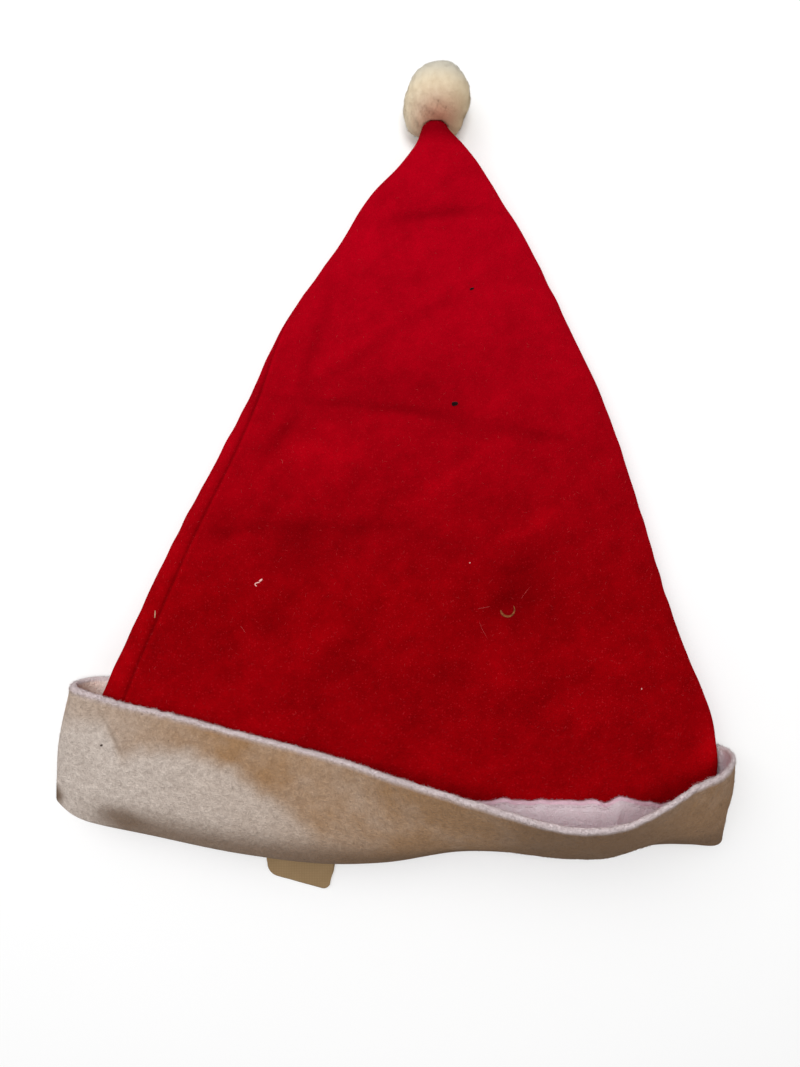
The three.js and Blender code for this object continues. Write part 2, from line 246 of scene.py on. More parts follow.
# Tan stain on the cuff's wall: across the wall, the edge of the stain along the hat, and how tan the felt
# is above that edge and below it
STAIN_COLUMNS = ("x", "edge", "above", "below")
CUFF_STAIN = (
    (-150, -102, 0.25, 0),
    (-140, -102.7, 0.4, 0),
    (-122, -104.4, 0.5, 0),
    (-116, -115, 0.55, 0.02),
    (-105, -113, 0.65, 0.05),
    (-80, -116.5, 0.85, 0.12),
    (-65, -122.4, 0.95, 0.2),
    (-48.4, -134.5, 0.85, 0.32),
    (-31, -148.5, 0.82, 0.6),
    (-14, -162, 0.78, 0.85),
    (0, -170, 0.93, 0.95),
    (150, -170, 1, 1),
)
STAIN_EDGE = {"long": 22, "short": 8, "share": 0.6, "waver": 0.6, "soft": 6}

# Darker marks on the cuff's wall, mostly painted shade on the steep right wall, along the bottom and in
# the left crease, and one real dark mark of dirt at the left corner: middle, half length, half width,
# amount and turn in degrees
SHADE_AND_SOIL_COLUMNS = ("x", "y", "reach", "width", "amount", "turn")
CUFF_SHADE_AND_SOIL = (
    (110, -138, 90, 50, 0.37, 0),
    (78, -147, 36, 32, 0.66, 0),
    (45, -160, 110, 15, 0.3, 3),
    (20, -132, 46, 8, 0.22, -12),
    (-115.5, -143, 11, 4.2, 0.55, -16),
    (-118.9, -107.5, 13, 0.9, 0.3, -60),
    (-148, -135.5, 6, 5, 0.95, 0),
)
# Painted shade along the bottom fold, where the felt turns under, fading out towards the left
FOLD_SHADE = {"reach": 0.3, "amount": 0.82, "start": -142, "full": -112}
SHADE_AND_SOIL_FADE = (0.35, 1.4)

# Other marks of the cuff: mm from the rim, the share up to the sewn hem, whose pink is a painted
# reflection of the red crown, and the warm inside at the left
RIM_MARK = (0.1, 1.6)
HEM_MARK = {"amount": 0.9, "span": (0.97, 0.995)}
WARM_SPAN = (-142, -108)

# One dark speck on the cuff, and the stitches below its sewn edge
CUFF_SPECK = {
    "place": (-123.5, -112),
    "points": 5,
    "slant": 0.4,
    "lift": 0.1,
    "radius": 0.42,
    "taper": 3,
    "light": (0.04, 0.025, 0.02),
}
STITCH = {
    "line_points": 4000,
    "points": 7,
    "share": 0.9,
    "sunk": 0.25,
    "dip": 0.3,
    "dip_power": 3,
    "dark": (0.58, 0.45, 0.49),
    "light": (0.74, 0.61, 0.65),
}

# Creases in the cuff's wall, given like the crown's dents
CUFF_CREASES = (
    (-118.9, -107.5, 12, 0.9, 0.3, -60),
    (-62, -128, 26, 8, 0.5, -23),
    (-20, -138, 14, 7, 0.4, -70),
)

# Loose fibres on felt: how they vary, how upright each kind stands and the seeds of its draws
NAP_SPREAD = {"steep": (0.3, 1.0), "long": (0.5, 1.3), "bend": (-0.45, 0.45), "thick": (0.7, 1.3)}
NAP_DROOP = 0.12
NAP_ROOT = 0.1
NAPS = {
    "crown_nap": {"upright": 0.5, "place_seed": 10, "shape_seed": 11},
    "crown_lint": {"upright": 0.2, "place_seed": 10, "shape_seed": 11},
    "cuff_nap": {"upright": 0.5, "place_seed": 20, "shape_seed": 30},
    "rim_nap": {"upright": 1.1, "place_seed": 20, "shape_seed": 30},
}
LINT_SHARE = 1.1
LINT_FADE = (-20, 110)

# Where the cuff's loose fibres stand: up to an angle, and from shares up the wall, rim and hem
NAP_END = 190
WALL_NAP = 0.02
RIM_NAP = 0.965
HEM_NAP = 0.95

# Shape of single fibres and tubes
STEEP_FIBRE = 0.8
NEEDLE_MIDDLE = 0.75
FIBRE_FLOOR = 0.05
TUBE_SIDES = 6

# Pompom: lobes of its uneven ball, by direction in degrees, with half width in degrees and rise
LOBE_COLUMNS = ("azimuth", "elevation", "spread", "rise")
POMPOM_LOBES = (
    (66, 5, 24, 1.6),
    (115, 10, 22, -0.9),
    (157, 5, 26, -1.6),
    (228, -14, 28, 2.9),
    (302, -14, 18, 2.4),
    (15, 5, 30, 0.6),
)
POMPOM_RADIUS = 14.6
POMPOM_BUMP = {"height": 0.12, "length": 7}
TIP_PLACE = (19, 155, 22)  # where the crown's tip goes into the ball, seen from above
# Blush beside the tip: a painted red reflection and painted shade from the tip, over some red dye
BLUSH_REACH = 10
# One side tanned and painted darker: a real tan, and painted shade on the side turned from the light
AGE_AND_SHADE_HEADING = (0.75, -0.6, -0.2)
AGE_AND_SHADE_FADE = (-4, 16)
# The far end greyer and darker: painted shade that tones down the light on that end, with a greyer tint
FAR_FADE = (-2, 11)
RAY_PROBES = (0.1, 1, 46)  # first and last share of a ray that is tried against the tip, and how many

# The pompom's packed head and its fibres; a swell below zero lets them reach a little into the tip
HEAD = {"rings": 60, "columns": 120, "share": 0.978, "swell": -0.3, "floor": 0.4}
HEAD_SHADE = 0.5
PILE = {
    "scatter": 0.014,
    "lean": 0.4,
    "tip_lean": (0, -0.4, 0.3),
    "spread": 0.012,
    "stray_spread": 0.06,
    "uneven": 0.008,
    "root": 0.9,
    "floor": 0.3,
    "probes": 5,
    "swell": -0.2,
    "tuft_shade": 0.1,
    "fibre_shade": 0.14,
    # painted shade towards the roots and painted light at the tips
    "point_shade": (-0.12, -0.12, -0.12, 0.1),
    "thick": (0.7, 1.3),
}

# Tab: its middle line from the inside of the mouth, over the fold and down to the surface
TAB_LINE = (
    (-41, -140, 6.3),
    (-42, -150, 6.3),
    (-43, -158.5, 6.1),
    (-43.5, -164, 4.2),
    (-43.5, -168.5, 1.4),
    (-43.5, -173, 0.5),
    (-43, -180.3, 0.4),
)
TAB_WALL = 0.8
TAB_LEFT = 14
TAB_RIGHT = 18.3
TAB_END_RIGHT = 14.4
TAB_SKEW = -0.27
TAB_CORNER = 4
TAB_TAPER = 4
TAB_CURL = {"height": 0.2, "length": 18, "start": 0.6}
TAB_FLOOR = 0.02

# Bits caught in the felt: place on the crown, length, radius, turn, curl in degrees, and how much
# thinner the bit's end is than its start
BIT_COLUMNS = ("x", "y", "length", "radius", "turn", "curl", "slim")
PALE_HAIRS = (
    (39.0, -53.8, 5.6, 0.05, 9, 6, 0.2),
    (57.1, -47.6, 6.4, 0.045, 53, -10, 0.2),
    (38.4, -63.2, 8.2, 0.035, -64, 12, 0.2),
    (-48.4, 9.5, 2.4, 0.05, 110, 90, 0.2),
    (-64.4, -63.2, 4.0, 0.06, -52, -20, 0.5),
)
LINT_BITS = (
    (-57.2, -42.2, 1.7, 0.5, 35, 40, 0.2),
    (-58.8, -43.4, 2.4, 0.34, 20, -40, 0.3),
    (-59.4, -44.4, 1.3, 0.26, -50, 60, 0.3),
    (33.0, -34.6, 0.6, 0.24, 20, 0, 0),
    (107.0, -88.9, 0.7, 0.22, 80, 0, 0),
)
STRAW_BITS = (
    (-104.2, -57.3, 3.3, 0.3, 90, 10, 0.2),
)
HUSK_BITS = (
    (49.7, -56.0, 10.6, 0.62, 8, 200, 0.55),
)
DARK_BITS = (
    (26.8, 34.2, 2.5, 1.0, 10, 0, 0.3),
    (34.4, 84.8, 1.8, 0.5, 20, 0, 0.3),
)
BIT_POINTS = 11
BIT_END = 0.35

# Each piece of caught bits with its table and its two colours
BIT_SETS = (
    ("pale_hairs", PALE_HAIRS, (0.42, 0.035, 0.04), (0.6, 0.13, 0.12)),
    ("lint_bits", LINT_BITS, (0.7, 0.26, 0.24), (0.9, 0.6, 0.55)),
    ("straw_bit", STRAW_BITS, (0.4, 0.2, 0.12), (0.68, 0.42, 0.28)),
    ("husk_bit", HUSK_BITS, (0.12, 0.025, 0.008), (0.36, 0.12, 0.04)),
    ("dark_specks", DARK_BITS, (0.004, 0.002, 0.003), (0.02, 0.006, 0.006)),
)

# Camera: straight above the hat
CAMERA_PLACE = (3, -22, 365)
CAMERA_LENS = 27.02
CAMERA_SENSOR = 36.0

# Floor: half its side, its points along a side and how far it is below the hat
FLOOR = {"reach": 2500, "points": 26, "drop": 0.4}

# Lights: place and side of each square
KEY_PLACE = (-450, 450, 900)
KEY_SIZE = 800
OVERHEAD_PLACE = (60, 150, 1300)
OVERHEAD_SIZE = 500


def bell(distance, width):
    """Bell curve: 1 in the middle and 0.37 one width away."""
    return np.exp(-((distance / width) ** 2))


def ease(value, start, end):
    """Smooth step from 0 at start to 1 at end."""
    share = np.clip((value - start) / (end - start), 0, 1)
    return share * share * (3 - 2 * share)


def blend(first, last, share):
    return first + (last - first) * share


def unit(vectors):
    """Vectors of length 1 in the same directions."""
    return vectors / np.maximum(np.linalg.norm(vectors, axis=-1, keepdims=True), 1e-12)


def rows_of(columns, table):
    """The table's rows as dictionaries of its named columns."""
    return [dict(zip(columns, row)) for row in table]


def read_table(columns, table, places):
    """Every column of a table at any places of its first column: in each span a cubic whose slopes
    come from the rows on both sides, and straight ends."""
    numbers = np.array(table, float)
    keys = numbers[:, 0]
    places = np.clip(places, keys[0], keys[-1])
    last = np.clip(np.searchsorted(keys, places, side="right"), 1, len(keys) - 1)
    first = last - 1
    before = np.where(first > 0, first - 1, last)
    after = np.where(last < len(keys) - 1, last + 1, first)
    span = keys[last] - keys[first]
    share = (places - keys[first]) / span
    pull = 0.5 * span / (keys[first] - keys[before])
    push = 0.5 * span / (keys[after] - keys[last])
    square = share**2
    cube = share**3
    weights = (
        (before, -pull * cube + 2 * pull * square - pull * share),
        (first, (1 + pull) * cube - (1.5 + 2 * pull) * square + (pull - 0.5) * share + 1),
        (last, -(1 + push) * cube + (1.5 + push) * square + 0.5 * share),
        (after, push * cube - push * square),
    )
    return {
        name: sum(weight * numbers[row, index] for row, weight in weights)
        for index, name in enumerate(columns)
    }


def soft_waves(x, y, length, seed):
    """Smooth unevenness of about one unit: a sum of plane waves about one length long, with seeded
    directions and phases."""
    draw = np.random.default_rng(seed)
    heading = draw.uniform(0, 2 * np.pi, WAVE_COUNT)
    pace = 2 * np.pi / (length * draw.uniform(*WAVE_SPREAD, WAVE_COUNT))
    phase = draw.uniform(0, 2 * np.pi, WAVE_COUNT)
    run = np.multiply.outer(x, np.cos(heading) * pace)
    run = run + np.multiply.outer(y, np.sin(heading) * pace) + phase
    return np.sin(run).sum(axis=-1) * np.sqrt(2 / WAVE_COUNT)


def back_height(along):
    """Height of the crown's back: on the cuff near the mouth, on the surface, then rising to the tip."""
    on_cuff = CUFF_STACK * (1 - ease(along, *BACK_DROP))
    risen = np.clip((along - TIP_RISE["start"]) / (TIP_RISE["end"] - TIP_RISE["start"]), 0, 1)
    return on_cuff + TIP_RISE["height"] * risen ** TIP_RISE["power"]


def crown_section(angle, along):
    """Outside of the crown at an angle round it: x and z of half an ellipse over the front, and of two
    rounded corners and a flat back below."""
    row = read_table(CROWN_COLUMNS, CROWN_SECTIONS, along)
    half = (row["right"] - row["left"]) / 2
    edge_rise = EDGE_SHARE * row["thick"]
    edge = back_height(along) + edge_rise
    x = (row["left"] + row["right"]) / 2 + half * np.cos(angle)
    front = edge + (row["thick"] - edge_rise) * np.sin(angle)
    corner = np.minimum(CORNER_REACH, CORNER_SHARE * half)
    inward = np.clip(half * (1 - np.abs(np.cos(angle))) / corner, 0, 1)
    back = edge - edge_rise * np.sqrt(1 - (1 - inward) ** 2)
    return x, np.where(np.sin(angle) >= 0, front, back)


def off_crown(angle, along, lift):
    """Points at a distance outward from the crown, square to its section, never below the surface."""
    step = np.radians(SLOPE_STEP)
    x, z = crown_section(angle, along)
    x_before, z_before = crown_section(angle - step, along)
    x_after, z_after = crown_section(angle + step, along)
    run = unit(np.stack([x_after - x_before, z_after - z_before], axis=-1))
    height = np.maximum(z - run[..., 0] * lift, 0)
    return np.stack([x + run[..., 1] * lift, along + 0 * x, height], axis=-1)


def cuff_turn(angle):
    """The cuff's table at angles in radians, with the gathers added to its sewn edge, which wavers
    where the wall stands well off it."""
    around = np.degrees(angle) % 360
    turned = [(row[0] + turn, *row[1:]) for turn in (-360, 0, 360) for row in CUFF_TURNS]
    row = read_table(CUFF_COLUMNS, turned, around)
    flat = (around > FLAT_BACK[0]) & (around < FLAT_BACK[1])
    row["lift"] = np.where(flat, CUFF_OUTER, row["lift"])
    row["belly"] = np.where(flat, 0, row["belly"])
    row["around"] = around
    for gather in rows_of(GATHER_COLUMNS, GATHERS):
        row["seam"] = row["seam"] + gather["rise"] * bell(around - gather["around"], gather["spread"])
    waver = soft_waves(around * SEAM_WAVER["pace"], 0 * around, SEAM_WAVER["length"], SEED + 8)
    row["seam"] = row["seam"] + SEAM_WAVER["height"] * waver * (row["belly"] > SEAM_WAVER["belly"])
    return row


def seam_twist(along):
    """How far the side seam has turned towards the side fold, in radians."""
    risen = (along - SEAM_TURN["start"]) / (SEAM_TURN["end"] - SEAM_TURN["start"])
    return np.radians(SEAM_TURN["degrees"]) * np.clip(risen, 0, 1) ** SEAM_TURN["power"]


def seam_distance(angle, along):
    """Distance across the felt from the side seam, positive to its right."""
    seam = np.radians(SEAM_ANGLE) + seam_twist(along)
    row = read_table(CROWN_COLUMNS, CROWN_SECTIONS, along)
    across = (row["right"] - row["left"]) / 2 * np.sin(angle)
    upright = (1 - EDGE_SHARE) * row["thick"] * np.cos(angle)
    return (seam - angle) * np.hypot(across, upright)


def on_seam(angle, along):
    """1 on the felt round the side seam and 0 elsewhere, with a fade towards the tip."""
    beside = np.abs(np.degrees(angle) - SEAM_SIDE["middle"]) < SEAM_SIDE["reach"]
    return (1 - ease(along, *SEAM_FADE)) * beside


def along_mark(mark, x, y):
    """Distances along and across a mark that has a middle and a turn in degrees."""
    turn = np.radians(mark["turn"])
    ahead = (x - mark["x"]) * np.cos(turn) + (y - mark["y"]) * np.sin(turn)
    beside = (y - mark["y"]) * np.cos(turn) - (x - mark["x"]) * np.sin(turn)
    return ahead, beside


def dented(table, x, y):
    """How far a table's dents go in at each place: bell curves along and across every dent."""
    depth = 0
    for dent in rows_of(DENT_COLUMNS, table):
        ahead, beside = along_mark(dent, x, y)
        depth = depth + dent["depth"] * bell(ahead, dent["reach"]) * bell(beside, dent["width"])
    return depth


def crown_relief(angle, along, settings):
    """How far the crown's felt stands out: soft waves less dents over the front, small waves along the
    side folds, and at the seam a narrow groove with a puckered lip and a round roll beside it."""
    x, _ = crown_section(angle, along)
    front = np.clip(np.sin(angle), 0, 1)
    waves = soft_waves(x, along, CROWN_WAVES["long"], SEED)
    waves = waves + CROWN_WAVES["share"] * soft_waves(x, along, CROWN_WAVES["short"], SEED + 1)
    relief = settings.wave_height / MM * waves - dented(CROWN_DENTS, x, along)
    fold = bell(np.sin(angle), SIDE_WAVES["width"])
    side = np.sign(np.cos(angle)) * SIDE_WAVES["apart"]
    uneven = settings.edge_uneven / MM * soft_waves(side, along, SIDE_WAVES["length"], SEED + 2)
    away = seam_distance(angle, along)
    pucker = 1 + SEAM_FORM["pucker"] * np.sin(2 * np.pi * along / SEAM_FORM["pucker_length"])
    lip = SEAM_FORM["lip"] * bell(away - SEAM_FORM["lip_place"], SEAM_FORM["lip_width"]) * pucker
    roll = SEAM_FORM["roll"] * bell(away + SEAM_FORM["roll_place"], SEAM_FORM["roll_width"])
    seam = settings.seam_depth / MM * (lip + roll - bell(away, SEAM_FORM["groove_width"]))
    return front * relief + fold * uneven + seam * on_seam(angle, along)


def crown_columns():
    """Angles of the columns round the crown at the hem, in radians."""
    runs = [np.linspace(first, last, count, endpoint=False) for first, last, count in COLUMN_RUNS]
    return np.radians(np.concatenate(runs))


def crown_rows(column, count, end, wall, settings):
    """Rows of points from the hem to the end, crowded towards the tip, a wall's thickness inside the
    crown's outer face; the columns turn with the side seam. Returns the points and their shade."""
    share = 1 - (1 - np.linspace(0, 1, count + 1)[:, None]) ** ROW_CROWDING
    hem = cuff_turn(column)["seam"] - SEWN_OVERLAP
    along = blend(hem, end, share)
    angle = column + seam_twist(along)
    points = off_crown(angle, along, crown_relief(angle, along, settings) - wall)
    return points, crown_shade(column, angle, along, points[..., 0])


def crown_shade(column, angle, along, x):
    """How much darker, or below zero lighter, the red is painted: painted shade in dents and in the
    seam's groove, painted light on ridges, on the groove's lip, on the strip beside the seam and above
    the cuff's rim, and a painted shadow of the pompom at the tip."""
    away = seam_distance(angle, along)
    groove = SEAM_SHADE["groove"] * bell(away, SEAM_SHADE["groove_width"])
    lip = SEAM_SHADE["lip"] * bell(away - SEAM_SHADE["lip_place"], SEAM_SHADE["lip_width"])
    strip = ease(-away, *SEAM_SHADE["strip_start"]) * (1 - ease(-away, *SEAM_SHADE["strip_end"]))
    seam = groove - lip - SEAM_SHADE["strip"] * strip
    rim = 1 - ease(along - cuff_turn(column)["rim"], *RIM_LIGHT["fade"])
    corner = bell(np.degrees(angle) - RIM_LIGHT["corner_angle"], RIM_LIGHT["corner_reach"])
    light = (RIM_LIGHT["amount"] + RIM_LIGHT["corner"] * corner) * rim
    front = np.clip(np.sin(angle) * FRONT_EDGE, 0, 1)
    worn = DENT_SHADE * dented(CROWN_DENTS, x, along) - light
    tip = TIP_SHADE["amount"] * ease(along, *TIP_SHADE["fade"])
    return front * worn + seam * on_seam(angle, along) + tip


def ring_faces(rings, count, closed):
    """Quads between neighbouring rings of count points; closed joins the last ring to the first."""
    ring = np.arange(rings if closed else rings - 1)[:, None]
    place = np.arange(count)[None, :]
    following = (ring + 1) % rings
    beside = (place + 1) % count
    corners = [ring * count + place, ring * count + beside]
    corners += [following * count + beside, following * count + place]
    return np.stack(corners, axis=-1).reshape(-1, 4)


def pole_faces(first_ring, last_ring, first_pole, last_pole):
    """Triangles that close a run of rings at its two poles."""
    starts = np.stack([first_pole + 0 * first_ring, np.roll(first_ring, -1), first_ring], axis=-1)
    ends = np.stack([last_pole + 0 * last_ring, last_ring, np.roll(last_ring, -1)], axis=-1)
    return np.concatenate([starts, ends])


def ringed_surface(rings, first_pole, last_pole):
    """Points, quads and triangles of rings skinned from one pole to the other."""
    total, count = rings.shape[:2]
    points = np.concatenate([rings.reshape(-1, 3), [first_pole, last_pole]])
    order = np.arange(total * count).reshape(total, count)
    triangles = pole_faces(order[0], order[-1], total * count, total * count + 1)
    return points, ring_faces(total, count, False), triangles


def sheet_surface(top, bottom):
    """Points, quads and no triangles of a thin sheet: its two faces and the strip round their edges.
    The rows run along -y and the columns along x."""
    rows, columns = top.shape[:2]
    order = np.arange(rows * columns).reshape(rows, columns)
    cells = [order[:-1, :-1], order[1:, :-1], order[1:, 1:], order[:-1, 1:]]
    upper = np.stack(cells, axis=-1).reshape(-1, 4)
    lower = upper[:, ::-1] + order.size
    edge = np.concatenate([order[0], order[1:, -1], order[-1, -2::-1], order[-2:0:-1, 0]])
    following = np.roll(edge, -1)
    strip = np.stack([edge, following, following + order.size, edge + order.size], axis=-1)
    points = np.concatenate([top.reshape(-1, 3), bottom.reshape(-1, 3)])
    return points, np.concatenate([upper, lower, strip]), NO_TRIANGLES


def make_piece(name, points, quads, triangles, attributes, material, slot, node=None):
    """A mesh piece from arrays in millimetres, riding on the hat, with its float attributes."""
    corners = np.concatenate([np.ravel(quads), np.ravel(triangles)]).astype(np.int32)
    quad_starts = np.arange(len(quads)) * 4
    triangle_starts = len(quads) * 4 + np.arange(len(triangles)) * 3
    starts = np.concatenate([quad_starts, triangle_starts]).astype(np.int32)
    mesh = bpy.data.meshes.new(name)
    mesh.vertices.add(len(points))
    mesh.vertices.foreach_set("co", np.ravel(points * MM).astype(np.float32))
    mesh.loops.add(len(corners))
    mesh.loops.foreach_set("vertex_index", corners)
    mesh.polygons.add(len(starts))
    mesh.polygons.foreach_set("loop_start", starts)
    mesh.update(calc_edges=True)
    mesh.polygons.foreach_set("use_smooth", np.ones(len(starts), bool))
    for key, values in attributes.items():
        layer = mesh.attributes.new(key, "FLOAT", "POINT")
        layer.data.foreach_set("value", np.ravel(values).astype(np.float32))
    if mesh.validate():
        raise RuntimeError(f"{name} has faces that repeat or share corners")
    piece = bpy.data.objects.new(name, mesh)
    bpy.context.scene.collection.objects.link(piece)
    piece.data.materials.append(material)
    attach(piece, BODY)
    if node:
        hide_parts(node)
    return piece


def cuff_middle(turn):
    """Middle line of the cuff's felt at each angle, as distance off the crown and place along the hat:
    down the inner layer, round the fold until it aims at the rim, and out to the rim in a shallow bow.
    Returns the line, and for each of its points the share up the inner layer and up the outer wall."""
    centre = np.stack([CUFF_INNER + FOLD_RADIUS + 0 * turn["fold"], turn["fold"] + FOLD_RADIUS], axis=-1)
    rim = np.stack([turn["lift"], turn["rim"]], axis=-1)
    to_rim = rim - centre
    aim = np.arctan2(to_rim[:, 1], to_rim[:, 0]) % (2 * np.pi)
    last = 2 * np.pi + aim - np.arccos(FOLD_RADIUS / np.linalg.norm(to_rim, axis=-1))
    down = np.linspace(0, 1, INNER_POINTS, endpoint=False) ** INNER_CROWDING
    inner_along = blend(turn["seam"][:, None], centre[:, 1:], down)
    inner = np.stack([CUFF_INNER + 0 * inner_along, inner_along], axis=-1)
    bend = blend(np.pi, last[:, None], np.linspace(0, 1, FOLD_POINTS))
    fold = centre[:, None] + FOLD_RADIUS * np.stack([np.cos(bend), np.sin(bend)], axis=-1)
    start = fold[:, -1]
    wall = unit(rim - start)
    outward = np.stack([wall[:, 1], -wall[:, 0]], axis=-1)
    share = np.linspace(0, 1, WALL_POINTS + 1)[1:]
    bow = turn["belly"][:, None] * np.sin(np.pi * share)
    outer = blend(start[:, None], rim[:, None], share[:, None]) + outward[:, None] * bow[..., None]
    line = np.concatenate([inner, fold, outer], axis=1)
    inner_share = np.concatenate([1 - down, np.zeros(FOLD_POINTS + WALL_POINTS)])
    outer_share = np.concatenate([np.zeros(INNER_POINTS + FOLD_POINTS), share])
    return line, inner_share, outer_share


def felt_outline(line, half):
    """The felt's outline round a middle line: one face, a round end, the other face and a round end.
    half is half the thickness at each point of the line. Returns the outline and, for each of its
    points, the point of the line that it belongs to."""
    run = unit(np.gradient(line, axis=1))
    quarter = np.pi / 2
    places = np.arange(line.shape[1])
    turns = np.linspace(-quarter, quarter, END_POINTS + 2)[1:-1]
    index = np.concatenate([places, places[-1] + 0 * turns, places[::-1], 0 * turns]).astype(int)
    angle = np.concatenate([-quarter + 0 * places, turns, quarter + 0 * places, turns + np.pi])
    side_x = run[:, index, 0] * np.cos(angle) - run[:, index, 1] * np.sin(angle)
    side_y = run[:, index, 0] * np.sin(angle) + run[:, index, 1] * np.cos(angle)
    side = np.stack([side_x, side_y], axis=-1)
    return line[:, index] + side * half[:, index, None], index


def grid_normals(grid):
    """Unit vectors square to a grid of points, from its slopes along and across the rows."""
    return unit(np.cross(np.gradient(grid, axis=1), np.gradient(grid, axis=0)))


def cuff_surface(settings):
    """The cuff as rings of felt outline round the mouth, with soft waves and creases, a swollen rim, a
    stitched groove below the sewn edge and ridges where that edge is gathered. Returns the angles and
    rings with their shares up the inner layer and the outer wall, and which points face outward."""
    front = np.linspace(*FRONT_SPAN, settings.columns, endpoint=False)
    back = np.linspace(FRONT_SPAN[1], FRONT_SPAN[0] + 360, settings.back_columns, endpoint=False)
    angle = np.radians(np.concatenate([front, back]))
    turn = cuff_turn(angle)
    uneven = soft_waves(angle * RIM_WAVES["pace"], 0 * angle, RIM_WAVES["length"], SEED + 3)
    turn["rim"] = turn["rim"] + settings.rim_uneven / MM * uneven * (turn["belly"] > 0)
    line, inner_share, outer_share = cuff_middle(turn)
    free = np.clip(turn["belly"], 0, 1)[:, None]
    around = angle[:, None] * CUFF_WAVES["pace"]
    wave = soft_waves(around, line[..., 1], CUFF_WAVES["long"], SEED + 4)
    wave = wave + CUFF_WAVES["share"] * soft_waves(around, line[..., 1], CUFF_WAVES["short"], SEED + 5)
    wave = settings.wave_height / MM * wave * free * np.sqrt(np.sin(np.pi * outer_share))
    run = unit(np.gradient(line, axis=1))
    outward = np.stack([run[..., 1], -run[..., 0]], axis=-1)
    line = line + outward * wave[..., None]
    hump = np.sin(np.pi * np.clip(inner_share, 0, GATHER_HUMP["end"])) ** GATHER_HUMP["power"]
    for gather in rows_of(GATHER_COLUMNS, GATHERS):
        across = bell(turn["around"] - gather["around"], gather["spread"])
        line[..., 0] = line[..., 0] + gather["ridge"] * across[:, None] * hump
    half = CUFF_WALL / 2 + settings.rim_swell / MM / 2 * ease(outer_share, *SWELL_SPAN)
    below = (1 - inner_share) * (turn["seam"] - turn["fold"])[:, None]
    groove = STITCH_GROOVE["depth"] * bell(below - settings.stitch_drop / MM, STITCH_GROOVE["width"])
    half = half - groove * (inner_share > STITCH_GROOVE["start"])
    outline, index = felt_outline(line, half)
    rings = off_crown(angle[:, None], outline[..., 1], outline[..., 0])
    outer_face = np.zeros(len(index))
    outer_face[: line.shape[1] + END_POINTS // 2 + 1] = 1
    outer_share = outer_share[index]
    creased = outer_face * ease(outer_share, *CREASED_SPAN)
    depth = dented(CUFF_CREASES, rings[..., 0], rings[..., 1]) * creased
    rings = rings - grid_normals(rings) * depth[..., None]
    return angle, rings, inner_share[index], outer_share, outer_face


def stained(x, y):
    """How tan the cuff's wall is at each place: one amount above the stain's wavering edge and another
    below it."""
    row = read_table(STAIN_COLUMNS, CUFF_STAIN, x)
    waver = soft_waves(x, y, STAIN_EDGE["long"], SEED + 6)
    waver = waver + STAIN_EDGE["share"] * soft_waves(x, y, STAIN_EDGE["short"], SEED + 7)
    past = y - row["edge"] + STAIN_EDGE["waver"] * waver
    above = ease(past, -STAIN_EDGE["soft"], STAIN_EDGE["soft"])
    return np.clip(blend(row["below"], row["above"], above), 0, 1)


def shaded_and_soiled(x, y):
    """How much dark painted shade, with one real mark of dirt, is on the cuff's wall at each place:
    soft-edged ovals.
    """
    clean = 1 + 0 * x
    for spot in rows_of(SHADE_AND_SOIL_COLUMNS, CUFF_SHADE_AND_SOIL):
        ahead, beside = along_mark(spot, x, y)
        away = np.hypot(ahead / spot["reach"], beside / spot["width"])
        clean = clean * (1 - spot["amount"] * (1 - ease(away, *SHADE_AND_SOIL_FADE)))
    return 1 - clean


def surface_samples(grid, count, seed, weight):
    """Places spread by chance over a grid of points, with the grid's outward normals and its rows and
    columns there. weight is how likely each cell between neighbouring rows and columns is."""
    draw = np.random.default_rng(seed)
    across = grid[:-1, 1:] - grid[:-1, :-1]
    ahead = grid[1:, :-1] - grid[:-1, :-1]
    normal = np.cross(across, ahead)
    area = np.linalg.norm(normal, axis=-1) * weight
    chosen = draw.choice(area.size, count, p=np.ravel(area / area.sum()))
    row, column = np.unravel_index(chosen, area.shape)
    share = draw.uniform(0, 1, (2, count, 1))
    place = grid[row, column] + across[row, column] * share[0] + ahead[row, column] * share[1]
    return place, unit(normal[row, column]), row, column


def fibre_rings(along, radius):
    """A triangle of points round each fibre, square to it and a radius away from its middle line."""
    upright, level = np.array([[0.0, 0.0, 1.0], [1.0, 0.0, 0.0]])
    side = unit(np.cross(along, np.where(np.abs(along[:, 2:]) < STEEP_FIBRE, upright, level)))
    other = np.cross(along, side)
    turn = np.arange(3)[:, None] * 2 * np.pi / 3
    ring = side[:, None] * np.cos(turn) + other[:, None] * np.sin(turn)
    return ring * radius[:, None, None]


def needles(root, heading, bend, radius):
    """Tapered fibres, each a closed needle: a triangle at the root, another halfway and a point. The
    fibre's place at a share t of its length is root + heading t + bend t squared."""
    ring = fibre_rings(unit(heading), radius)
    middle = root + 0.5 * heading + 0.25 * bend
    tip = root + heading + bend
    parts = [root[:, None] + ring, middle[:, None] + NEEDLE_MIDDLE * ring, tip[:, None]]
    points = np.concatenate(parts, axis=1)
    points[..., 2] = np.maximum(points[..., 2], FIBRE_FLOOR)
    first = np.arange(len(root))[:, None, None] * points.shape[1]
    quads = first + np.array([[0, 1, 4, 3], [1, 2, 5, 4], [2, 0, 3, 5]])
    triangles = first + np.array([[0, 2, 1], [3, 4, 6], [4, 5, 6], [5, 3, 6]])
    return points.reshape(-1, 3), quads.reshape(-1, 4), triangles.reshape(-1, 3)


def spikes(root, tip, radius):
    """Straight tapered fibres, each a closed spike: a triangle at the root and a point."""
    ring = fibre_rings(unit(tip - root), radius)
    points = np.concatenate([root[:, None] + ring, tip[:, None]], axis=1)
    points[..., 2] = np.maximum(points[..., 2], FIBRE_FLOOR)
    first = np.arange(len(root))[:, None, None] * points.shape[1]
    triangles = first + np.array([[0, 2, 1], [0, 1, 3], [1, 2, 3], [2, 0, 3]])
    return points.reshape(-1, 3), NO_QUADS, triangles.reshape(-1, 3)


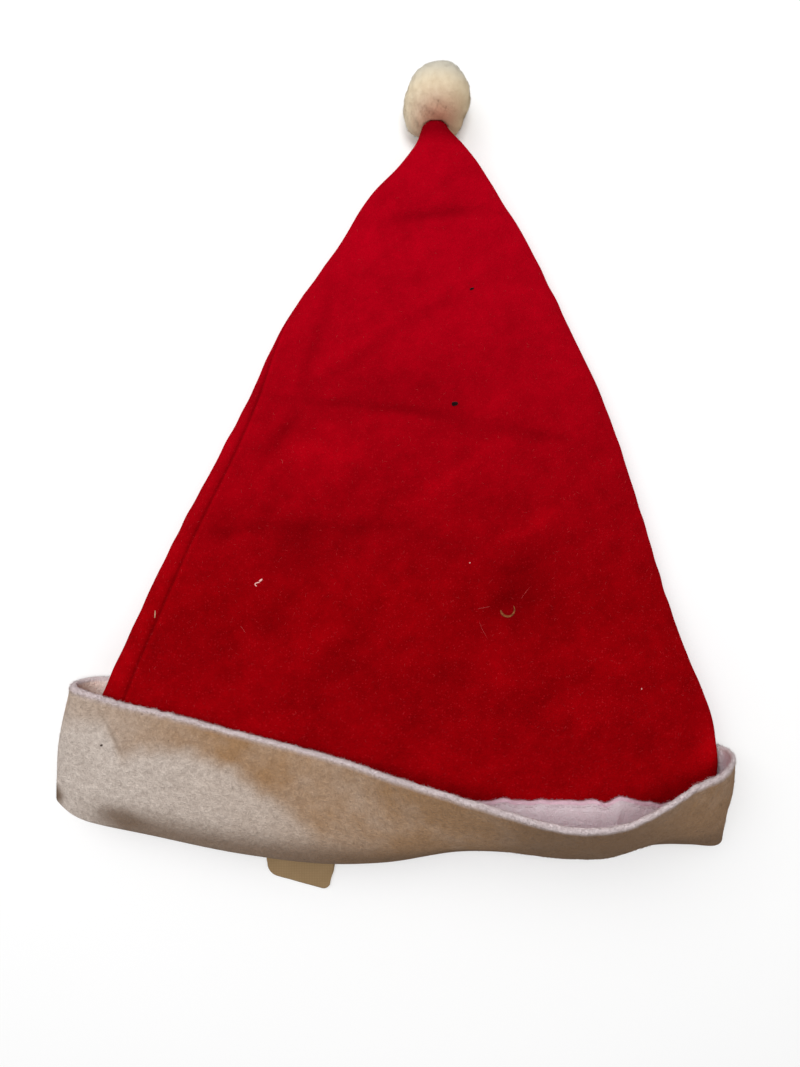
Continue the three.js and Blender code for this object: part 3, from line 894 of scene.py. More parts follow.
def laid_fibres(place, normal, seed, length, radius, upright):
    """Nap on felt: needles that start just inside the surface and lie over it in all directions,
    upright times as steep as they are long, with a sideways bend."""
    draw = np.random.default_rng(seed)
    count = len(place)
    loose = draw.normal(0, 1, (2, count, 3))
    flat = unit(loose[0] - normal * np.sum(loose[0] * normal, axis=-1, keepdims=True))
    steep = draw.uniform(*NAP_SPREAD["steep"], (count, 1)) * upright
    long = length * draw.uniform(*NAP_SPREAD["long"], (count, 1))
    heading = unit(flat + normal * steep) * long
    bend = unit(np.cross(normal, flat)) * long * draw.uniform(*NAP_SPREAD["bend"], (count, 1))
    bend = bend - normal * long * NAP_DROOP
    thick = radius * draw.uniform(*NAP_SPREAD["thick"], count)
    return needles(place - normal * NAP_ROOT, heading, bend, thick)


def make_nap(name, grid, weight, count, sizes, marks, material, slot):
    """Loose fibres over the likely cells of a grid of felt, each with the marks of the felt that it
    stands on. sizes are a fibre's length and radius."""
    nap = NAPS[name]
    place, normal, row, column = surface_samples(grid, count, SEED + nap["place_seed"], weight)
    length, radius = np.array(sizes) / MM
    fibres = laid_fibres(place, normal, SEED + nap["shape_seed"], length, radius, nap["upright"])
    each = len(fibres[0]) // count
    carried = {key: np.repeat(values[row, column], each) for key, values in marks.items()}
    make_piece(name, *fibres, carried, material, slot)


def tubes(paths, radii):
    """Closed round tubes: rings square to each path, one path a row, with a pole at both ends."""
    run = unit(np.gradient(paths, axis=1))
    side = unit(np.cross(run, [[[0.0, 0.0, 1.0]]]))
    other = np.cross(side, run)
    turn = np.arange(TUBE_SIDES)[:, None] * 2 * np.pi / TUBE_SIDES
    ring = side[:, :, None] * np.cos(turn) + other[:, :, None] * np.sin(turn)
    rings = paths[:, :, None] + ring * radii[:, :, None, None]
    count, steps = paths.shape[:2]
    start = paths[:, 0] - run[:, 0] * radii[:, :1] / 2
    end = paths[:, -1] + run[:, -1] * radii[:, -1:] / 2
    points = np.concatenate([rings.reshape(count, -1, 3), start[:, None], end[:, None]], axis=1)
    order = np.arange(steps * TUBE_SIDES).reshape(steps, TUBE_SIDES)
    first = np.arange(count)[:, None, None] * points.shape[1]
    quads = first + ring_faces(steps, TUBE_SIDES, False)[:, ::-1]
    triangles = first + pole_faces(order[0], order[-1], order.size, order.size + 1)[:, ::-1]
    return points.reshape(-1, 3), quads.reshape(-1, 4), triangles.reshape(-1, 3)


def inside_crown(points, swell):
    """Which points lie inside the crown's outside, swollen by a distance."""
    row = read_table(CROWN_COLUMNS, CROWN_SECTIONS, points[..., 1])
    half = (row["right"] - row["left"]) / 2 + swell
    edge = back_height(points[..., 1]) + EDGE_SHARE * row["thick"]
    above = points[..., 2] - edge
    share = np.where(above > 0, 1 - EDGE_SHARE, EDGE_SHARE)
    across = (points[..., 0] - (row["left"] + row["right"]) / 2) / half
    within = across**2 + (above / (share * row["thick"] + swell)) ** 2 < 1
    return within & (points[..., 1] < TIP_END + TIP_ROUND + swell)


def pompom_middle():
    """Middle of the ball, from the packed solid."""
    low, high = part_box("pompom")
    return (np.array(low) + np.array(high)) / 2 / MM


def pompom_reach(heading):
    """Distance from the ball's middle to its surface: a round ball with lobes and soft bumps."""
    x, y, z = np.moveaxis(heading * POMPOM_RADIUS, -1, 0)
    bumps = POMPOM_BUMP["height"] * soft_waves(x + z, y, POMPOM_BUMP["length"], SEED + 9)
    reach = POMPOM_RADIUS + bumps
    for lobe in rows_of(LOBE_COLUMNS, POMPOM_LOBES):
        azimuth = np.radians(lobe["azimuth"])
        elevation = np.radians(lobe["elevation"])
        level = np.cos(elevation)
        towards = np.array([level * np.cos(azimuth), level * np.sin(azimuth), np.sin(elevation)])
        away = np.degrees(np.arccos(np.clip(heading @ towards, -1, 1)))
        reach = reach + lobe["rise"] * bell(away, lobe["spread"])
    return reach


def short_of_tip(heading, reach, swell):
    """How far rays from the ball's middle run before they meet the crown's tip, at most their reach."""
    share = np.linspace(*RAY_PROBES)
    points = pompom_middle() + heading[..., None, :] * (reach[..., None] * share)[..., None]
    met = inside_crown(points, swell)
    return np.where(met.any(axis=-1), reach * share[np.argmax(met, axis=-1)], reach)


def tip_blush(points):
    """How near points of the ball are to the crown's tip: 1 beside it, falling off over a few mm."""
    return bell(np.linalg.norm(points - np.array(TIP_PLACE, float), axis=-1), BLUSH_REACH)


def even_headings(count):
    """Directions spread evenly over a ball along a golden spiral."""
    place = np.arange(count) + 0.5
    height = 1 - 2 * place / count
    turn = place * np.pi * (3 - np.sqrt(5))
    level = np.sqrt(1 - height**2)
    return np.stack([level * np.cos(turn), level * np.sin(turn), height], axis=-1)


def pompom_marks(points, shade):
    """What the pompom's fibre shows at points of the ball: its shade, partly painted, the blush beside
    the crown's tip, which is painted reflection and shade of the tip over some dye, how tanned and
    painted dark it is, from 0 on the far left to 1 on the near right, and how near it is to the far end,
    where it is painted darker, from 0 before the ball's middle to 1 at that end."""
    offset = points - pompom_middle()
    return {
        "shade": shade,
        "blush": tip_blush(points),
        "age_and_shade": ease(offset @ np.array(AGE_AND_SHADE_HEADING), *AGE_AND_SHADE_FADE),
        "far": ease(offset[..., 1], *FAR_FADE),
    }


def pompom_fibres(count, seed, settings, spread):
    """Fibres from the packed head to the ball's surface. Neighbours lean a little together into small
    tufts, and those in the way of the crown's tip are left out. Returns spikes with the marks of each
    of their points."""
    draw = np.random.default_rng(seed)
    heading = unit(even_headings(count) + draw.normal(0, PILE["scatter"], (count, 3)))
    tufts = even_headings(settings.tufts)
    tuft = np.argmax(heading @ tufts.T, axis=1)
    lean = draw.uniform(0, PILE["lean"], (count, 1))
    middle = pompom_middle()
    near = tip_blush(middle + heading * POMPOM_RADIUS)[:, None]
    outward = blend(heading, tufts[tuft], lean) + near * np.array(PILE["tip_lean"])
    outward = unit(outward + draw.normal(0, spread, (count, 3)))
    longer = draw.normal(0, PILE["uneven"], settings.tufts)[tuft]
    longer = longer + draw.normal(0, PILE["uneven"] + spread / 4, count)
    root = middle + heading * (PILE["root"] * pompom_reach(heading))[:, None]
    tip = middle + outward * (pompom_reach(outward) * (1 + longer))[:, None]
    root[:, 2] = np.maximum(root[:, 2], PILE["floor"])
    tip[:, 2] = np.maximum(tip[:, 2], PILE["floor"])
    probe = np.linspace(0, 1, PILE["probes"])[:, None, None]
    clear = ~inside_crown(blend(root, tip, probe), PILE["swell"]).any(axis=0)
    shade = HEAD_SHADE + draw.normal(0, PILE["tuft_shade"], settings.tufts)[tuft]
    shade = shade + draw.normal(0, PILE["fibre_shade"], count)
    radius = settings.fibre_radius / MM * draw.uniform(*PILE["thick"], count)
    made = spikes(root[clear], tip[clear], radius[clear])
    lit = np.clip(shade[clear, None] + np.array(PILE["point_shade"]), 0, 1)
    return made, pompom_marks(made[0], lit)


class Nodes:
    """Places shader nodes in a tree. An input takes a value or another node's output."""

    def __init__(self, tree):
        self.tree = tree

    def add(self, kind, inputs=None, **settings):
        node = self.tree.nodes.new(kind)
        for name, value in settings.items():
            setattr(node, name, value)
        for name, value in (inputs or {}).items():
            if isinstance(value, bpy.types.NodeSocket):
                self.tree.links.new(value, node.inputs[name])
            else:
                node.inputs[name].default_value = value
        return node

    def place(self):
        return self.add("ShaderNodeTexCoord").outputs["Object"]

    def attribute(self, name):
        return self.add("ShaderNodeAttribute", attribute_name=name).outputs["Fac"]

    def group(self, group, inputs):
        return self.add("ShaderNodeGroup", inputs, node_tree=group).outputs

    def stretched(self, vector, lengths, rotation):
        """Coordinates on turned axes, along which a pattern is so many times as long."""
        inputs = {"Vector": vector, "Rotation": rotation, "Scale": lengths}
        return self.add("ShaderNodeMapping", inputs, vector_type="TEXTURE").outputs[0]

    def noise(self, vector, scale, detail=2.0, roughness=0.55, distortion=0.0):
        inputs = {"Vector": vector, "Scale": scale, "Detail": detail, "Roughness": roughness}
        inputs["Distortion"] = distortion
        return self.add("ShaderNodeTexNoise", inputs).outputs[0]

    def remap(self, value, low, high, to_low=0.0, to_high=1.0):
        inputs = {"Value": value, "From Min": low, "From Max": high, "To Min": to_low, "To Max": to_high}
        return self.add("ShaderNodeMapRange", inputs).outputs[0]

    def math(self, operation, first, second):
        return self.add("ShaderNodeMath", {0: first, 1: second}, operation=operation).outputs[0]

    def total(self, *parts):
        """Sum of values, each times its weight."""
        weighted = [self.math("MULTIPLY", value, weight) for value, weight in parts]
        whole = weighted[0]
        for value in weighted[1:]:
            whole = self.math("ADD", whole, value)
        return whole

    def mix(self, share, first, second, blend_type="MIX"):
        """A mix of two colours, each given by its three parts or as another node's output."""
        inputs = {0: share}
        for index, tone in ((6, first), (7, second)):
            inputs[index] = tone if isinstance(tone, bpy.types.NodeSocket) else (*tone, 1.0)
        node = self.add("ShaderNodeMix", inputs, data_type="RGBA", blend_type=blend_type)
        return node.outputs[2]


def new_group(name, inputs, outputs):
    """An empty node group with a vector input, float inputs and float outputs."""
    group = bpy.data.node_groups.new(name, "ShaderNodeTree")
    group.interface.new_socket("Vector", in_out="INPUT", socket_type="NodeSocketVector")
    for key in inputs:
        group.interface.new_socket(key, in_out="INPUT", socket_type="NodeSocketFloat")
    for key in outputs:
        group.interface.new_socket(key, in_out="OUTPUT", socket_type="NodeSocketFloat")
    nodes = Nodes(group)
    entry = nodes.add("NodeGroupInput")
    leave = nodes.add("NodeGroupOutput")
    return group, nodes, entry.outputs, leave.inputs


def felt_group():
    """Felt: matted fibres as three stretched noises that cross each other, and soft mottling."""
    if "felt_fibres" in bpy.data.node_groups:
        return bpy.data.node_groups["felt_fibres"]
    scales = ["Fibre Scale", "Mottle Scale"]
    group, nodes, entry, leave = new_group("felt_fibres", scales, ["Fibres", "Mottle", "Height"])
    layers = []
    for turn in (0.35, 1.4, 2.45):
        mapped = nodes.stretched(entry["Vector"], (1.0, 2.2, 1.4), (0.3, 0.2, turn))
        layers.append(nodes.noise(mapped, entry["Fibre Scale"], 3.0, 0.6, 0.2))
    crossed = nodes.math("MAXIMUM", nodes.math("MAXIMUM", layers[0], layers[1]), layers[2])
    fibres = nodes.remap(crossed, 0.46, 0.72)
    mottle = nodes.remap(nodes.noise(entry["Vector"], entry["Mottle Scale"], 5.0, 0.6), *NOISE_SPAN)
    nodes.tree.links.new(fibres, leave["Fibres"])
    nodes.tree.links.new(mottle, leave["Mottle"])
    nodes.tree.links.new(nodes.total((fibres, 1.0), (mottle, 0.6)), leave["Height"])
    return group


def speck_group():
    """Specks: the middles of some scattered cells, as small round spots."""
    if "felt_specks" in bpy.data.node_groups:
        return bpy.data.node_groups["felt_specks"]
    group, nodes, entry, leave = new_group("felt_specks", ["Scale", "Size", "Rarity"], ["Mask"])
    cells = nodes.add("ShaderNodeTexVoronoi", {"Vector": entry["Vector"], "Scale": entry["Scale"]})
    spot = nodes.math("LESS_THAN", cells.outputs["Distance"], entry["Size"])
    chance = nodes.add("ShaderNodeSeparateColor", {"Color": cells.outputs["Color"]}).outputs[0]
    chosen = nodes.math("GREATER_THAN", chance, entry["Rarity"])
    nodes.tree.links.new(nodes.math("MULTIPLY", spot, chosen), leave["Mask"])
    return group


def new_material(name, roughness, sheen, sheen_tint):
    """A cloth material: returns it with its nodes and its shader, whose even values are set here."""
    material = bpy.data.materials.new(name)
    material.use_nodes = True
    nodes = Nodes(material.node_tree)
    shader = material.node_tree.nodes["Principled BSDF"]
    shader.inputs["Roughness"].default_value = roughness
    shader.inputs["Specular IOR Level"].default_value = 0.0
    shader.inputs["Sheen Weight"].default_value = sheen
    shader.inputs["Sheen Roughness"].default_value = 0.55
    shader.inputs["Sheen Tint"].default_value = sheen_tint
    return material, nodes, shader


def finish_cloth(nodes, shader, tone, height, strength, distance):
    """Give a cloth's shader its colour and a surface that is rough by a height pattern."""
    bump = nodes.add("ShaderNodeBump", {"Height": height, "Strength": strength, "Distance": distance})
    nodes.tree.links.new(bump.outputs[0], shader.inputs["Normal"])
    nodes.tree.links.new(tone, shader.inputs["Base Color"])


def red_felt(settings):
    """Red felt: lighter fibres over darker ones, soft patches that lie at a slant as painted shade of
    gentle waves in the felt, a brighter red towards the tip that is partly painted light and partly the
    tip's bluer red, faint specks, and the painted shade and light of dents, the seam, the red above the
    rim and the tip."""
    material, nodes, shader = new_material("napped_red_felt", 0.95, 0.06, (0.9, 0.04, 0.04, 1))
    place = nodes.place()
    felt = nodes.group(felt_group(), {"Vector": place, "Fibre Scale": 1300, "Mottle Scale": 150})
    # Soft slanted patches: painted shade of gentle waves and wrinkles in the felt
    slanted = nodes.stretched(place, lengths=(1.7, 0.8, 1), rotation=(0, 0, 0.55))
    patches = nodes.remap(nodes.noise(slanted, scale=62, detail=3.0), *NOISE_SPAN)
    share = nodes.total((felt["Fibres"], 0.3), (felt["Mottle"], 0.35), (patches, 0.35))
    low = nodes.mix(share, settings.dark_red, settings.light_red)
    high = nodes.mix(share, settings.dark_tip, settings.light_tip)
    along = nodes.add("ShaderNodeSeparateXYZ", {0: place}).outputs[1]
    # Brighter towards the tip: partly painted light falling off towards the mouth, partly the tip's bluer
    # red
    red = nodes.mix(nodes.remap(along, *BRIGHT_SPAN), low, high)
    specks = nodes.group(speck_group(), {"Vector": place, "Scale": 800, "Size": 0.24, "Rarity": 0.55})
    shown = nodes.math("MULTIPLY", specks[0], nodes.remap(along, *RED_SPECK_SPAN, *RED_SPECK_SHARES))
    red = nodes.mix(shown, red, settings.speck_red)
    # Painted shade and light from the shade attribute
    red = nodes.mix(1.0, red, nodes.math("SUBTRACT", 1.0, nodes.attribute("shade")), "MULTIPLY")
    finish_cloth(nodes, shader, red, felt["Height"], strength=0.6, distance=0.0005)
    return material


def white_felt(settings):
    """White felt browned by the years: stained where the stain attribute says, in blotches, with darker
    painted shade on its right wall and fold and a dark mark of dirt, an inside made bright as painted
    light against the shade in its hollow and pinkish as painted reflection of the red crown, warmer at
    the inside's left, pink at the hem as painted reflection of the red crown and clean and bright on the
    rim."""
    material, nodes, shader = new_material("napped_white_felt", 0.95, 0.1, (1, 0.97, 0.93, 1))
    place = nodes.place()
    felt = nodes.group(felt_group(), {"Vector": place, "Fibre Scale": 1300, "Mottle Scale": 430})
    share = nodes.total((felt["Fibres"], 0.5), (felt["Mottle"], 0.5))
    patches = nodes.noise(place, scale=60, detail=4.0, roughness=0.6)
    blotch = nodes.remap(patches, 0.25, 0.75, to_low=0.78, to_high=1.22)
    clean = nodes.mix(share, settings.shaded_white, settings.clean_white)
    brown = nodes.mix(share, settings.dark_stain, settings.light_stain)
    white = nodes.mix(nodes.math("MULTIPLY", nodes.attribute("stain"), blotch), clean, brown)
    layers = {
        # Painted shade on the right wall and fold, and a dark mark of dirt
        "shade_and_soil": settings.shade_and_soil,
        # The inside, made bright as painted light against the shade in its hollow, with a painted pink
        # reflection of the red crown
        "inside": nodes.mix(share, settings.shaded_pink, settings.light_pink),
        "warm": settings.warm_white,
        # The hem's pink: a painted reflection of the red crown
        "hem": settings.hem_pink,
        "rim": nodes.mix(share, settings.shaded_rim, settings.rim_white),
    }
    for mark, tone in layers.items():
        white = nodes.mix(nodes.attribute(mark), white, tone)
    dirt = nodes.group(speck_group(), {"Vector": place, "Scale": 160, "Size": 0.07, "Rarity": 0.9})
    clear_of_rim = nodes.math("SUBTRACT", 0.5, nodes.attribute("rim"))
    shown = nodes.math("MINIMUM", dirt[0], nodes.math("MAXIMUM", clear_of_rim, 0.0))
    white = nodes.mix(shown, white, settings.dirt)
    finish_cloth(nodes, shader, white, felt["Height"], strength=0.8, distance=0.0008)
    return material


def pompom_fibre(settings):
    """Cream fibre: a shade for each tuft, with painted shade towards the roots, greyed and painted darker
    at the far end, tanned and painted darker on one side, and pinkish beside the crown's tip as painted
    reflection and shade of the red tip over some dye."""
    material, nodes, shader = new_material("cut_cream_fibre", 0.9, 0.1, (1, 0.97, 0.9, 1))
    place = nodes.place()
    patches = nodes.remap(nodes.noise(place, scale=260, detail=4.0), *NOISE_SPAN)
    share = nodes.total((nodes.attribute("shade"), 0.6), (patches, 0.4))
    cream = nodes.mix(share, settings.deep_cream, settings.light_cream)
    # Painted shade at the far end and on one side, and painted reflection and shade beside the tip
    layers = {"far": (0.7, settings.greyed), "age_and_shade": (0.7, settings.aged_and_shaded), "blush": (0.85, settings.blush)}
    for mark, (amount, tone) in layers.items():
        cream = nodes.mix(nodes.math("MULTIPLY", nodes.attribute(mark), amount), cream, tone)
    height = nodes.noise(place, scale=1600, detail=3.0)
    finish_cloth(nodes, shader, cream, height, strength=0.4, distance=0.0004)
    return material


def tab_cloth(settings):
    """Plain woven tape: threads over and under each other, a little uneven in colour."""
    material, nodes, shader = new_material("woven_tape", 0.85, 0.05, (1, 0.9, 0.75, 1))
    place = nodes.place()
    threads = {"Vector": place, "Scale": 420.0, "Distortion": 0.6, "Detail": 1.0}
    over = nodes.add("ShaderNodeTexWave", threads, bands_direction="X").outputs[1]
    under = nodes.add("ShaderNodeTexWave", threads, bands_direction="Y").outputs[1]
    weave = nodes.math("MULTIPLY", over, under)
    share = nodes.total((weave, 0.5), (nodes.noise(place, scale=110, detail=3.0), 0.5))
    tan = nodes.mix(share, settings.dark_tan, settings.light_tan)
    finish_cloth(nodes, shader, tan, weave, strength=0.5, distance=0.0002)
    return material


def plain_fibre(name, dark, light, scale):
    """A small fibre or bit, streaked between two colours."""
    material, nodes, shader = new_material(name, 0.85, 0.05, (1, 1, 1, 1))
    streak = nodes.remap(nodes.noise(nodes.place(), scale, detail=3.0), *NOISE_SPAN)
    finish_cloth(nodes, shader, nodes.mix(streak, dark, light), streak, strength=0.4, distance=0.0002)
    return material


def size_property(name, description, default):
    return bpy.props.FloatProperty(
        name=name, description=description, default=default, min=0, unit="LENGTH", precision=5
    )


def count_property(name, description, default):
    return bpy.props.IntProperty(name=name, description=description, default=default, min=1)


def colour_property(name, description, default):
    return bpy.props.FloatVectorProperty(
        name=name, description=description, default=default, size=3, min=0, max=1, subtype="COLOR"
    )


class HatCrownSettings(bpy.types.PropertyGroup):
    """Sizes and colours of the crown."""

    rows: count_property("Rows", "Rows of points from the hem to the tip", 212)
    hollow_rows: count_property("Hollow rows", "Rows of points inside the crown", 16)
    wave_height: size_property("Waves", "Height of the felt's soft waves", 0.0003)
    edge_uneven: size_property("Side folds", "Unevenness of the side folds", 0.00012)
    seam_depth: size_property("Seam", "Depth of the side seam's groove", 0.00045)
    nap_count: count_property("Nap fibres", "Loose fibres on the crown", 10000)
    nap_length: size_property("Nap length", "Length of a loose fibre", 0.0016)
    nap_radius: size_property("Nap radius", "Radius of a loose fibre", 0.000035)
    lint_count: count_property("Light fibres", "Light fibres that lie on the crown", 900)
    lint_radius: size_property("Light fibre radius", "Radius of a light fibre", 0.00007)
    dark_red: colour_property("Dark red", "Between the fibres near the cuff", (0.168, 0.0002, 0.0013))
    light_red: colour_property("Light red", "Fibres near the cuff", (0.348, 0.0004, 0.0032))
    dark_tip: colour_property("Dark tip red", "Between the fibres near the tip", (0.315, 0.0002, 0.0058))
    light_tip: colour_property("Light tip red", "Fibres near the tip", (0.505, 0.0004, 0.0105))
    speck_red: colour_property("Speck red", "Light specks and loose fibres", (0.5, 0.016, 0.02))
    lint_red: colour_property("Lint red", "Lightest of the light fibres", (0.6, 0.035, 0.035))


class HatCuffSettings(bpy.types.PropertyGroup):
    """Sizes and colours of the cuff."""

    columns: count_property("Front columns", "Rings of points round the mouth's front", 540)
    back_columns: count_property("Back columns", "Rings of points round the mouth's back", 110)
    wave_height: size_property("Waves", "Height of the cuff's soft waves", 0.0003)
    rim_uneven: size_property("Rim line", "Unevenness of the rim's line", 0.0001)
    rim_swell: size_property("Rim", "How much thicker the rim is", 0.0002)
    stitch_drop: size_property("Stitch line", "Distance from the sewn edge to its stitches", 0.0013)
    stitch_length: size_property("Stitch length", "Length of a stitch with its gap", 0.0023)
    stitch_radius: size_property("Thread radius", "Radius of the sewing thread", 0.0002)
    nap_count: count_property("Nap fibres", "Loose fibres on the cuff", 9000)
    rim_count: count_property("Rim fibres", "Loose fibres along the rim", 14000)
    nap_length: size_property("Nap length", "Length of a loose fibre", 0.0015)
    nap_radius: size_property("Nap radius", "Radius of a loose fibre", 0.000042)
    clean_white: colour_property("Clean white", "Fibres of the clean felt", (0.88, 0.765, 0.68))
    shaded_white: colour_property("Shaded white", "Between the fibres", (0.455, 0.37, 0.32))
    rim_white: colour_property("Rim white", "Fibres of the brushed rim", (0.92, 0.8, 0.81))
    shaded_rim: colour_property("Shaded rim", "Between the rim's fibres", (0.68, 0.555, 0.555))
    # Painted pink reflection of the red crown on the sewn edge
    hem_pink: colour_property("Hem pink", "The sewn edge of the inner layer", (1.0, 0.68, 0.8))
    light_stain: colour_property("Light stain", "Stained fibres", (0.505, 0.291, 0.147))
    dark_stain: colour_property("Dark stain", "Stain between the fibres", (0.288, 0.159, 0.077))
    # Painted shade on the right wall and along the fold, and a dark mark of dirt at the left corner
    shade_and_soil: colour_property("Soil", "Dark soil along the fold", (0.15, 0.085, 0.045))
    # The inside's colours: bright as painted light against the shade in the hollow, pink as painted
    # reflection of the red crown
    light_pink: colour_property("Light pink", "Fibres of the inner layer", (1.0, 0.91, 0.95))
    shaded_pink: colour_property("Shaded pink", "Between the inner layer's fibres", (0.98, 0.82, 0.87))
    warm_white: colour_property("Warm white", "The inside at the left", (1.0, 0.77, 0.64))
    dirt: colour_property("Dirt", "Small dark specks", (0.1, 0.07, 0.05))


class HatPompomSettings(bpy.types.PropertyGroup):
    """Sizes and colours of the pompom."""

    tufts: count_property("Tufts", "Small tufts that the fibres lean into", 900)
    pile_count: count_property("Pile fibres", "Fibres of the dense pile", 40000)
    stray_count: count_property("Stray fibres", "Loose fibres that stand out", 3000)
    fibre_radius: size_property("Fibre radius", "Radius of a fibre at its root", 0.00008)
    light_cream: colour_property("Light cream", "Lightest fibres", (0.88, 0.785, 0.59))
    deep_cream: colour_property("Deep cream", "Deepest fibres", (0.62, 0.5, 0.33))
    # Painted shade at the far end, with a greyer tint
    greyed: colour_property("Greyed cream", "Fibres at the far end", (0.535, 0.52, 0.46))
    # Tan and painted shade on one side
    aged_and_shaded: colour_property("Aged cream", "Fibres tanned by age", (0.52, 0.385, 0.215))
    # Painted red reflection and shade beside the tip, over some dye
    blush: colour_property("Blush", "Fibres beside the crown's tip", (0.44, 0.15, 0.095))


class HatTabSettings(bpy.types.PropertyGroup):
    """Sizes and colours of the tab."""

    rows: count_property("Rows", "Rows of points along the tab", 60)
    columns: count_property("Columns", "Points across the tab", 36)
    light_tan: colour_property("Light tan", "Threads on top", (0.365, 0.248, 0.135))
    dark_tan: colour_property("Dark tan", "Threads below", (0.225, 0.147, 0.073))


class HatStageSettings(bpy.types.PropertyGroup):
    """Floor and light."""

    key_power: bpy.props.FloatProperty(
        name="Key light", description="Power of the main light", default=3.6, min=0, unit="POWER"
    )
    overhead_power: bpy.props.FloatProperty(
        name="Overhead light", description="Power of the light above", default=9.0, min=0, unit="POWER"
    )
    sky: bpy.props.FloatProperty(
        name="Sky", description="Strength of the even light", default=0.42, min=0
    )
    floor_white: colour_property("Floor", "Colour of the floor", (0.96, 0.96, 0.96))


class HAT_OT_crown(bpy.types.Operator):
    """Make the crown: a hollow felt cone with its seam, dents, nap and light fibres"""

    bl_idname = "hat.crown"
    bl_label = "Crown"

    def execute(self, context):
        settings = context.scene.hat_crown
        column = crown_columns()
        outside, shade = crown_rows(column, settings.rows, TIP_END, 0, settings)
        inside, _ = crown_rows(column, settings.hollow_rows, HOLLOW_END, CROWN_WALL, settings)
        tip = outside[-1].mean(axis=0) + (0, TIP_ROUND, 0)
        rings = np.concatenate([outside[::-1], inside])
        surface = ringed_surface(rings, tip, inside[-1].mean(axis=0))
        # Painted shade and light on the outside; none on the hollow's inside
        marks = {"shade": np.append(shade[::-1], np.zeros(inside[..., 0].size + 2))}
        felt = red_felt(settings)
        crown = make_piece("crown_felt", *surface, marks, felt, "red_felt", "crown")
        front = outside[:, column < np.radians(FRONT_SPAN[1])]
        low = LINT_SHARE - ease(front[:-1, :-1, 1], *LINT_FADE)
        loose = plain_fibre("loose_red_fibre", settings.light_tip, settings.speck_red, 300)
        pale = plain_fibre("pale_red_fibre", settings.speck_red, settings.lint_red, 300)
        sizes = (settings.nap_length, settings.nap_radius)
        make_nap("crown_nap", front, 1 + 0 * low, settings.nap_count, sizes, {}, loose, "red_felt")
        sizes = (settings.nap_length, settings.lint_radius)
        make_nap("crown_lint", front, low, settings.lint_count, sizes, {}, pale, "red_felt")
        return {"FINISHED"}


